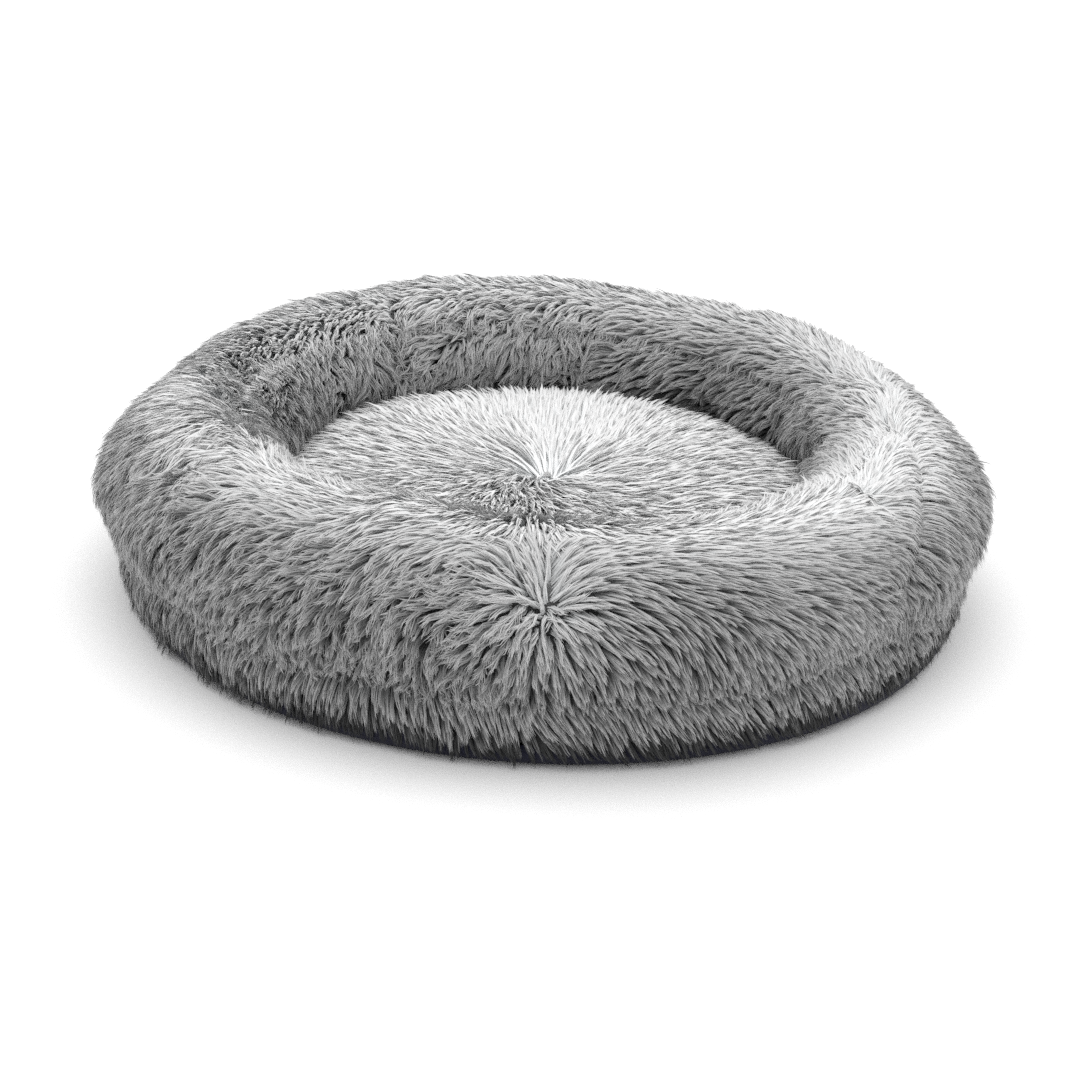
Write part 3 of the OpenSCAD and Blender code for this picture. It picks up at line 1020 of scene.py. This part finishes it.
def lay_locks(surface, nap, a, b, rng):
    """The nap of each lock, repeated for all of its blades, as columns."""
    lie = nap(surface, a, b, rng)
    size = np.hypot(lie["flow_a"], lie["flow_b"]) + 1e-9
    lie["flow_a"], lie["flow_b"] = lie["flow_a"] / size, lie["flow_b"] / size
    lie["spread"] = surface.spread(a, b)
    lie["phase"] = rng.uniform(0, 1, len(a))
    lie["turns"] = rng.uniform(0.6, 1.3, len(a))
    pull_a, pull_b = clump_pull(surface, a, b, CLUMP, rng)
    lie["pull_a"], lie["pull_b"] = pull_a * lie["clump"], pull_b * lie["clump"]
    lie["a"], lie["b"] = a, b
    return {key: np.repeat(values, BLADES_PER_LOCK)[:, None] for key, values in lie.items()}


def blade_paths(surface, lie, jitter, rng):
    """Each blade's middle line from root to tip, and the surface's normals beside it."""
    s = STATIONS[None, :]
    count = len(lie["a"])
    length = lie["length"] * (1 + 0.10 * jitter[0])
    start = np.radians(np.clip(lie["lift"] + 6 * jitter[1], 12, 84))
    bend = np.maximum(start - np.radians(lie["end_lift"] + 6 * jitter[2]), 0.1)
    along = length * (np.sin(start) - np.sin(start - bend * s)) / bend
    wave = lie["curl"] * (1 + 0.3 * jitter[4]) * s**1.3
    turn = 2 * math.pi * (lie["turns"] * s + lie["phase"] + 0.08 * jitter[3])
    height = length * (np.cos(start - bend * s) - np.cos(start)) / bend + 0.6 * wave * np.cos(turn)
    aside = wave * np.sin(turn)
    offset = LOCK_RADIUS * np.sqrt(rng.uniform(0, 1, (count, 1)))
    around = rng.uniform(0, 2 * math.pi, (count, 1))
    keep = 1 - lie["gather"] * s**1.2
    lean = s**1.5
    move_a = lie["flow_a"] * along - lie["flow_b"] * aside + offset * np.cos(around) * keep
    move_b = lie["flow_b"] * along + lie["flow_a"] * aside + offset * np.sin(around) * keep
    place_a = lie["a"] + (move_a + lie["pull_a"] * lean) / lie["spread"]
    place_b = lie["b"] + (move_b + lie["pull_b"] * lean)
    normal = surface.normal(place_a, place_b)
    return surface.base(place_a, place_b) + normal * height[..., None], normal


def blade_sides(path, normal, tilt):
    """Each station's direction across its blade, and its softened shading normal."""
    tangent = np.gradient(path, axis=1)
    tangent /= np.linalg.norm(tangent, axis=-1, keepdims=True) + 1e-12
    side = np.cross(tangent, normal)
    side /= np.linalg.norm(side, axis=-1, keepdims=True) + 1e-12
    roll = 0.38 * tilt[..., None]
    side = side * np.cos(roll) + np.cross(tangent, side) * np.sin(roll)
    flat = np.cross(side, tangent)
    flat *= np.sign(np.sum(flat * normal, axis=-1, keepdims=True) + 1e-9)
    soft = flat * (1 - SOFTNESS) + normal * SOFTNESS
    return side, soft / np.linalg.norm(soft, axis=-1, keepdims=True)


def per_blade(left, right, tip):
    """The values of a blade's points: its edges in pairs from the root up, then its tip."""
    values = np.empty((len(tip), BLADE_POINTS, tip.shape[-1]))
    values[:, 0:8:2], values[:, 1:8:2], values[:, 8] = left, right, tip
    return values


def grow_pile(name, surface, nap, a, b, seed):
    """A piece of pile: a lock of blades at each (a, b), bent over along the nap.

    The nap gives, for each lock, its direction (flow_a, flow_b), length, lift from the surface in
    degrees at root and tip, curl in metres, tone with painted light and shade from 0 dark to 1 pale,
    how far its tip leans into a clump, how closely its blades gather to a point, and how wide they are.
    """
    rng = np.random.default_rng(seed)
    lie = lay_locks(surface, nap, a, b, rng)
    count = len(a) * BLADES_PER_LOCK
    jitter = rng.standard_normal((6, count, 1))
    path, normal = blade_paths(surface, lie, jitter, rng)
    side, soft = blade_sides(path, normal, jitter[5])
    half = 0.5 * BLADE_WIDTH * lie["width"] * rng.uniform(0.75, 1.2, (count, 1)) * WIDTH_SHARES[None, :]
    edge = side[:, :4] * half[..., None]
    points = per_blade(path[:, :4] - edge, path[:, :4] + edge, path[:, 4])
    points[..., 2] = np.maximum(points[..., 2], FLOOR_GAP)
    normals = per_blade(soft[:, :4], soft[:, :4], soft[:, 4])
    tone_and_painted_light = lie["tone_and_painted_light"] + rng.normal(0, 0.04, (count, 1))
    # painted shade: below zero, the paleness keeps a blade to the dark, root end of the ramp
    shade = np.clip(1 + 2.2 * np.minimum(tone_and_painted_light, 0), 0.12, 1)
    tone_and_painted_light = np.clip(tone_and_painted_light, 0.02, 0.97)
    uv = np.empty((count, BLADE_POINTS, 2))
    uv[..., 0] = per_blade((tone_and_painted_light - 0.006)[..., None], (tone_and_painted_light + 0.006)[..., None], tone_and_painted_light)[..., 0]
    up = (STATIONS[None, :4] * shade)[..., None]
    uv[..., 1] = per_blade(up, up, shade)[..., 0]
    faces = blade_faces(count)
    return add_piece(
        name, points.reshape(-1, 3), faces, PILE, "fur", uv.reshape(-1, 2), normals.reshape(-1, 3)
    )


def root_rows(surface, a_range, b_range, spacing, rng):
    """Evenly strewn roots between two values of a and of b."""
    rows = max(1, round((b_range[1] - b_range[0]) / spacing))
    found_a, found_b = [], []
    for i in range(rows):
        b = b_range[0] + (i + 0.5) * (b_range[1] - b_range[0]) / rows
        middle = np.array([(a_range[0] + a_range[1]) / 2])
        width = (a_range[1] - a_range[0]) * surface.spread(middle, np.array([b]))[0]
        count = max(1, round(width / spacing))
        step = (a_range[1] - a_range[0]) / count
        a = a_range[0] + (np.arange(count) + 0.5 + rng.uniform(-0.45, 0.45, count)) * step
        found_a.append(a)
        found_b.append(b + rng.uniform(-0.45, 0.45, count) * spacing)
    return np.concatenate(found_a), np.concatenate(found_b)


# ---------------------------------------------------------------- the ring's fur panels

ring_body = Ring(RING_PILE)
PANELS = ["front_right", "right", "back", "left", "front_left"]


def shell(surface, a_values, b_values, thickness):
    """Points and faces of a thin closed shell under a patch of surface."""
    a, b = np.meshgrid(a_values, b_values, indexing="ij")
    shape = (len(a_values), len(b_values), 3)
    outer = surface.point(a.ravel(), b.ravel(), np.zeros(a.size)).reshape(shape)
    inner = surface.point(a.ravel(), b.ravel(), np.full(a.size, -thickness)).reshape(shape)
    grid = np.concatenate([outer, inner[:, ::-1]], axis=1)
    rows, columns = grid.shape[:2]
    faces = grid_faces(rows, columns, False, True)[:, ::-1]
    points = grid.reshape(-1, 3)
    return points, outward(points, np.concatenate([faces, end_caps(rows, columns)]))


def build_ring_panel(name, index):
    """One sewn panel of the ring: its cloth backing and its pile, outside and inside halves."""
    node = "ring_panel_" + name
    low = math.radians(FRONT_SEAM + index * PANEL_DEGREES)
    high = low + math.radians(PANEL_DEGREES)
    a_values, b_values = np.linspace(low, high, 73), np.linspace(0, ring_body.length, 73)
    points, faces = shell(ring_body, a_values, b_values, BACKING_T)
    cloth = add_piece(node + "_backing", points, faces, SHADED_BACKING, "fur")
    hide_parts(node)
    middle = 0.50 * ring_body.length
    halves = {"outer": (0.001, middle), "inner": (middle, ring_body.length - 0.001)}
    for half, (b_low, b_high) in halves.items():
        rng = np.random.default_rng(SEED + 100 * index + len(half) + (half == "inner"))
        a, b = root_rows(ring_body, (low, high), (b_low, b_high), LOCK_SPACING, rng)
        seed = SEED + 7 * index + (half == "inner")
        piece = grow_pile(f"{node}_pile_{half}", ring_body, ring_nap, a, b, seed)
        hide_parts(node)


for panel_index, panel in enumerate(PANELS):
    build_ring_panel(panel, panel_index)


# ---------------------------------------------------------------- the nest's fur cover

nest_body = Nest(NEST_PILE)


def build_nest_cover():
    """The nest's top: backing with a small gathered hole, and pile in a disc and two half rings."""
    hole, edge = 0.002, NEST_R - 0.0005
    a_values = np.linspace(0, 2 * math.pi, 181)[:-1]
    radii = np.concatenate([np.linspace(hole, 0.04, 14), np.linspace(0.043, edge, 40)])
    turn, radius = np.meshgrid(a_values, radii, indexing="ij")
    x, y = radius * np.cos(turn), radius * np.sin(turn)
    top = nest_body.base(x, y)
    grid = np.concatenate([top, (top - [0, 0, BACKING_T])[:, ::-1]], axis=1)
    faces = grid_faces(grid.shape[0], grid.shape[1], True, True)[:, ::-1]
    cover = add_piece("nest_cover_backing", grid.reshape(-1, 3), faces, LIT_BACKING, "fur")
    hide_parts("nest_cover")
    rng = np.random.default_rng(SEED + 900)
    reach = NEST_R - 0.004
    a, b = root_rows(nest_body, (-reach, reach), (-reach, reach), LOCK_SPACING, rng)
    r, turn = np.hypot(a, b), np.arctan2(b, a)
    inner = 0.115
    parts = {
        "middle": r < inner,
        "front": (r >= inner) & (r < reach) & (turn < 0),
        "rear": (r >= inner) & (r < reach) & (turn >= 0),
    }
    for i, (part, chosen) in enumerate(parts.items()):
        name, seed = "nest_cover_pile_" + part, SEED + 901 + i
        piece = grow_pile(name, nest_body, nest_nap, a[chosen], b[chosen], seed)
        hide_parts("nest_cover")


build_nest_cover()


# ---------------------------------------------------------------- the side band

band_body = Band()


def build_side_band():
    """The mattress's side: its backing, and its pile in two halves, left off over the zip."""
    a_values, b_values = np.linspace(0, 2 * math.pi, 361), np.linspace(TURN_UP_H, MATTRESS_H, 14)
    points, faces = shell(band_body, a_values, b_values, BACKING_T)
    cloth = add_piece("side_band_backing", points, faces, SHADED_BACKING, "fur")
    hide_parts("side_band")
    rng = np.random.default_rng(SEED + 950)
    for part, (low, high) in {"rear": (0, math.pi), "front": (math.pi, 2 * math.pi)}.items():
        a, b = root_rows(band_body, (low, high), (TURN_UP_H + 0.003, MATTRESS_H), LOCK_SPACING, rng)
        above_zip = over_zip(np.degrees(a)) > 0.02
        chosen = ~(above_zip & (b < TAPE_TOP_Z + 0.006))
        name, seed = "side_band_pile_" + part, SEED + 951 + len(part)
        piece = grow_pile(name, band_body, band_nap, a[chosen], b[chosen], seed)
        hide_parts("side_band")


build_side_band()


# ---------------------------------------------------------------- casings and fillings


CASING_T = 0.0008
lump_drift = Lattice(SEED + 3)


def lumpy(grid, depth, cell=0.035):
    """The grid pulled in towards its own middle line by uneven stuffing."""
    flat = grid.reshape(-1, 3)
    noise = lump_drift(flat, cell)[:, :1] + 0.5 * lump_drift(flat, cell * 0.4)[:, 1:2]
    pull = depth * (0.55 + 0.45 * np.clip(noise, -1, 1))
    low_z = grid[..., 2].min()
    toward = np.array([0, 0, low_z + 0.4 * (grid[..., 2].max() - low_z)]) - flat
    flat_r = np.hypot(flat[:, 0], flat[:, 1])
    if flat_r.min() > 0.1:
        middle = RING_R / np.maximum(flat_r, 1e-6)
        toward[:, :2] = flat[:, :2] * middle[:, None] - flat[:, :2]
    size = np.linalg.norm(toward, axis=1, keepdims=True)
    return (flat + toward / np.maximum(size, 0.01) * pull).reshape(grid.shape)


def ring_tube(inset, floor_z):
    """The stuffed ring as one closed tube that stands on the deck."""
    body = Ring(inset)
    around = np.linspace(0, 2 * math.pi, 241)[:-1]
    along = np.linspace(0.0, body.length, 56)
    a, b = np.meshgrid(around, along, indexing="ij")
    top = body.base(a.ravel(), b.ravel()).reshape(len(around), len(along), 3)
    outer_r, inner_r = body.r[1], body.r[-2]
    radii = np.concatenate([[inner_r], np.linspace(inner_r + 0.006, outer_r - 0.006, 12), [outer_r]])
    turn = around[:, None]
    rise = np.full(len(radii), floor_z)
    rise[[0, -1]] = floor_z + 0.004
    under = np.stack([radii * np.cos(turn), radii * np.sin(turn), rise + 0 * turn], axis=-1)
    return np.concatenate([top, under], axis=1)


def build_ring_inside():
    """The ring's casing and its fibre."""
    inset = RING_PILE + BACKING_T + 0.0004
    outer = looped(ring_tube(inset, MATTRESS_H + 0.0004))
    inner = looped(ring_tube(inset + CASING_T, MATTRESS_H + 0.0004 + CASING_T))
    casing = add_piece("ring_casing", *nested(outer, inner), NON_WOVEN, "lining")
    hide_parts("ring_liner")
    stuffing = lumpy(ring_tube(inset + 2.5 * CASING_T, MATTRESS_H + 3 * CASING_T), 0.003)
    filling = add_piece("ring_filling", *looped(stuffing), FIBRE, "fibre_fill")
    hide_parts("ring_fill")


def nest_pad(inset, edge_r, floor_z):
    """The nest cushion as one closed form: its domed top, its soft edge and its flat underside."""
    top_r = np.linspace(0.003, edge_r - 0.004, 34)
    turn = np.linspace(0, 2 * math.pi, 145)[:-1, None]
    x, y = top_r * np.cos(turn), top_r * np.sin(turn)
    top = Nest(NEST_PILE + inset).base(x, y)
    edge_z = top[:, -1:, 2]
    drop = np.array([0.15, 0.45, 0.85, 1.0])
    side_r = edge_r - np.array([0.0012, 0.0, 0.0, 0.003])
    side_z = edge_z + (floor_z - edge_z) * drop
    side = np.stack([side_r * np.cos(turn), side_r * np.sin(turn), side_z], axis=-1)
    low_r = np.linspace(edge_r - 0.006, 0.003, 16)
    low = np.stack([low_r * np.cos(turn), low_r * np.sin(turn), floor_z + 0 * turn + 0 * low_r], axis=-1)
    return np.concatenate([top, side, low], axis=1)


def build_nest_inside():
    """The nest cushion's casing and its fibre."""
    inset, edge_r, floor_z = BACKING_T + 0.0004, NEST_R - 0.002, MATTRESS_H + 0.0004
    outer = capped(nest_pad(inset, edge_r, floor_z))
    inner = capped(nest_pad(inset + CASING_T, edge_r - CASING_T, floor_z + CASING_T))
    casing = add_piece("nest_casing", *nested(outer, inner), NON_WOVEN, "lining")
    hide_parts("nest_liner")
    stuffing = lumpy(nest_pad(inset + 2 * CASING_T, edge_r - 3 * CASING_T, floor_z + 2 * CASING_T), 0.002)
    filling = add_piece("nest_filling", *capped(stuffing), FIBRE, "fibre_fill")
    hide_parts("nest_fill")


def mattress_profile(inset):
    """Radius and height round the mattress's inside, from the middle below to the middle above."""
    wide_r, top_z = CLOTH_R - CLOTH_T - inset, DECK_Z - inset
    neck_r = BAND_R - ZIP_BAND_PILE - 0.0048 - inset
    step_z = TAPE_BOTTOM_Z - 0.0008 - inset
    corner = CUP_R - CLOTH_T - inset
    profile = [(r, CLOTH_T + inset) for r in np.linspace(0.004, wide_r - corner, 24)]
    for turn in np.linspace(-90, 0, 7)[1:]:
        x, z = math.cos(math.radians(turn)), math.sin(math.radians(turn))
        profile.append((wide_r - corner + corner * x, CLOTH_T + inset + corner + corner * z))
    profile += [(wide_r, step_z), (neck_r, step_z + 0.0006)]
    profile += [(neck_r, z) for z in np.linspace(step_z + 0.004, top_z - 0.005, 9)]
    profile += [(neck_r - 0.0014, top_z - 0.0014), (neck_r - 0.005, top_z)]
    profile += [(r, top_z) for r in np.linspace(neck_r - 0.012, 0.004, 22)]
    return profile


def build_mattress_inside():
    """The mattress's casing and its fibre."""
    inset = 0.0003
    outer = capped(turned(mattress_profile(inset), 216))
    inner = capped(turned(mattress_profile(inset + CASING_T), 216))
    casing = add_piece("mattress_casing", *nested(outer, inner), NON_WOVEN, "lining")
    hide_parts("base_liner")
    stuffing = lumpy(turned(mattress_profile(inset + 2.5 * CASING_T), 216), 0.0015, 0.03)
    filling = add_piece("mattress_filling", *capped(stuffing), FIBRE, "fibre_fill")
    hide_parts("base_fill")


def build_deck():
    """The lining between the mattress and what is sewn on it."""
    low, high = extent("deck_lining")
    low_z, high_z = low[2] + 0.0001, high[2] - 0.0001
    radii = np.linspace(0.004, DECK_R - 0.0005, 40)
    profile = [(r, low_z) for r in radii] + [(r, high_z) for r in radii[::-1]]
    grid = turned(profile, 216)
    ripple = 0.00008 * lump_drift(grid.reshape(-1, 3) * [1, 1, 0], 0.03)[:, 0].reshape(grid.shape[:2])
    grid[..., 2] += ripple
    deck = add_piece("deck_lining_cloth", *capped(grid), NON_WOVEN, "lining")
    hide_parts("deck_lining")


def twisted(path_z, radius, pitch, phase):
    """One strand of a twisted cord that rises on the middle."""
    turn = 2 * math.pi * path_z / pitch + phase
    return np.stack([radius * np.cos(turn), radius * np.sin(turn), path_z], axis=1)


def wrapped_knot(z, radius, strand_r, up):
    """A small knot: one strand wound over half a ball."""
    t = np.linspace(0, 1, 90)
    turn, tilt = 2 * math.pi * 3.5 * t, 0.5 * math.pi * t
    r = (radius - strand_r) * np.cos(tilt) + 0.0001
    rise = z + up * (radius - strand_r) * np.sin(tilt)
    return np.stack([r * np.cos(turn), r * np.sin(turn), rise], axis=1)


def build_tuft():
    """The two-ply cord that draws the nest's middle down, its knots, and its patch under the deck."""
    strand_r, patch = 0.00075, extent("tuft_anchor_patch")
    top_z = float(nest_body.base(np.zeros(1), np.zeros(1))[0, 2]) + 0.0012
    low_z = patch[0][2] - 0.0012
    rise = np.linspace(low_z, top_z, 110)
    forms = [tube(twisted(rise, 0.0007, 0.0045, phase), strand_r) for phase in (0, math.pi)]
    forms.append(tube(wrapped_knot(top_z, 0.0034, strand_r, 1), strand_r))
    forms.append(tube(wrapped_knot(low_z + 0.0008, 0.0034, strand_r, -1), strand_r))
    cord = add_piece("tuft_tie", *together(forms), CORD, "cord")
    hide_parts("tuft_cord")
    patch_r = patch[1][0]
    low, high = patch[0][2] + 0.0001, patch[1][2] - 0.0001
    radii = np.linspace(0.003, patch_r - 0.0006, 12)
    rim = [(patch_r - 0.0001, low + 0.0004), (patch_r, (low + high) / 2), (patch_r - 0.0001, high - 0.0004)]
    profile = [(r, low) for r in radii] + rim + [(r, high) for r in radii[::-1]]
    felt = add_piece("tuft_patch_cloth", *looped(turned(profile, 64)), NON_WOVEN, "lining")
    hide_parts("tuft_anchor_patch")


build_ring_inside()
build_nest_inside()
build_mattress_inside()
build_deck()
build_tuft()


# ---------------------------------------------------------------- base cloth, dots and label


def build_base_cloth():
    """The Oxford underside: a cup of cloth turned up round the mattress, with a topstitched edge."""
    low_z, wall_r = 0.0002, CLOTH_R - 0.0002
    corner = CUP_R - low_z

    def cup(inset, rim_z):
        profile = [(r, low_z + inset) for r in np.linspace(0.004, wall_r - corner - 0.001, 30)]
        reach = corner - inset
        for turn in np.linspace(-90, 0, 9):
            x, z = math.cos(math.radians(turn)), math.sin(math.radians(turn))
            profile.append((wall_r - corner + reach * x, low_z + corner + reach * z))
        return profile + [(wall_r - inset, z) for z in np.linspace(CUP_R + 0.0015, rim_z, 5)]

    def slack(turn, z):
        """Small ripples outwards in the turned-up strip, none at the bottom."""
        up = smoothstep(0.004, CUP_R + 0.003, z)
        ripple = 0.5 + 0.3 * np.sin(23 * turn + 2 * np.sin(5 * turn)) + 0.2 * np.sin(61 * turn)
        return 0.0009 * up * ripple

    thickness = CLOTH_T - 0.0002
    profile = cup(0, TURN_UP_H) + cup(thickness, TURN_UP_H)[::-1]
    cloth = add_piece("base_cloth", *capped(turned(profile, 720, slack)), OXFORD, "base_cloth")
    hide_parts("base_panel")
    stitches = []
    count, stitch_z = 380, TURN_UP_H - 0.0032
    for i in range(count):
        middle = 2 * math.pi * i / count
        turn = middle + np.linspace(-0.35, 0.35, 5) * 2 * math.pi / count
        out = np.array([-0.0002, 0.00025, 0.0003, 0.00025, -0.0002])
        r = wall_r + slack(turn, np.full(5, stitch_z)) + out
        path = np.stack([r * np.cos(turn), r * np.sin(turn), 0 * turn + stitch_z], axis=1)
        stitches.append(tube(path, 0.0003, 5))
    add_piece("base_topstitch", *together(stitches), THREAD, "base_cloth")


def build_label():
    """A blank satin label: one strip, folded in half, that hangs from the ring's hem seam."""
    low, high = extent("care_label")
    middle = (low + high) / 2
    azimuth = math.radians(LABEL_AZIMUTH)
    tops = np.hypot(middle[0], middle[1])
    width = 0.0296
    half = np.linspace(0, 1, 13)
    drop = high[2] - low[2] - 0.0006
    hang = high[2] - 0.0003 - drop * half
    curl = 0.0006 * half**2
    fold = np.linspace(0, math.pi, 5)[1:-1]
    gap = 0.00022
    line = [(tops - gap + c, z) for c, z in zip(curl, hang)]
    line += [(tops + curl[-1] - gap * math.cos(f), hang[-1] - gap * math.sin(f)) for f in fold]
    line += [(tops + gap + c, z) for c, z in zip(curl[::-1], hang[::-1])]
    line = np.array(line)
    across = np.linspace(-width / 2, width / 2, 15)
    tangent = np.gradient(line, axis=0)
    tangent /= np.linalg.norm(tangent, axis=1, keepdims=True)
    side = np.stack([tangent[:, 1], -tangent[:, 0]], axis=1) * 0.00009
    sheets = []
    for sign in (1, -1):
        r, z = (line + sign * side).T
        wave = 0.0004 * np.sin(across / width * 5.0)[:, None] * ((high[2] - z) / drop)[None, :]
        turn = azimuth + across[:, None] / tops
        radius = r[None, :] + wave
        sheets.append(np.stack([radius * np.cos(turn), radius * np.sin(turn), z + 0 * turn], axis=-1))
    grid = np.concatenate([sheets[0], sheets[1][:, ::-1]], axis=1)
    rows, columns = grid.shape[:2]
    faces = np.concatenate([grid_faces(rows, columns, False, True), end_caps(rows, columns)])
    points = grid.reshape(-1, 3)
    label = add_piece("care_label_satin", points, outward(points, faces), SATIN, "label")
    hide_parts("care_label")


def finish_node(node, material):
    """Gives a CAD node that keeps its shape a detailed material."""
    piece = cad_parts[node]
    for slot in piece.material_slots:
        slot.material = material


build_base_cloth()
build_label()
finish_node("grip_dots", RUBBER)


# ---------------------------------------------------------------- zip


def build_coil(node, turn_sign):
    """One side of the zip: a nylon coil along its tape, as a real spring."""
    low, high = extent(node)
    z = (low[2] + high[2]) / 2
    coil_r = (high[2] - low[2]) / 2
    wire = 0.00026
    pitch, steps = 0.0015, 9
    middle_r = float(np.max(np.abs([low[1], high[1]]))) - coil_r
    start, end = math.atan2(low[1], high[0]), math.atan2(low[1], low[0])
    turns = int((end - start) * middle_r / pitch)
    t = np.linspace(0, turns, turns * steps + 1)
    azimuth = start + (end - start) * t / turns
    spin = 2 * math.pi * t * turn_sign
    radius = middle_r + (coil_r - wire) * np.cos(spin)
    height = z + (coil_r - wire) * np.sin(spin)
    path = np.stack([radius * np.cos(azimuth), radius * np.sin(azimuth), height], axis=1)
    coil = add_piece(node + "_spring", *tube(path, wire, 5), NYLON, "zip_coil")
    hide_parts(node)


build_coil("zip_coil_upper", 1)
build_coil("zip_coil_lower", -1)
for tape in ("zip_tape_upper", "zip_tape_lower"):
    finish_node(tape, WEBBING)
for fitting in ("zip_top_stop", "zip_bottom_stop", "zip_slider", "zip_pull"):
    finish_node(fitting, METAL)
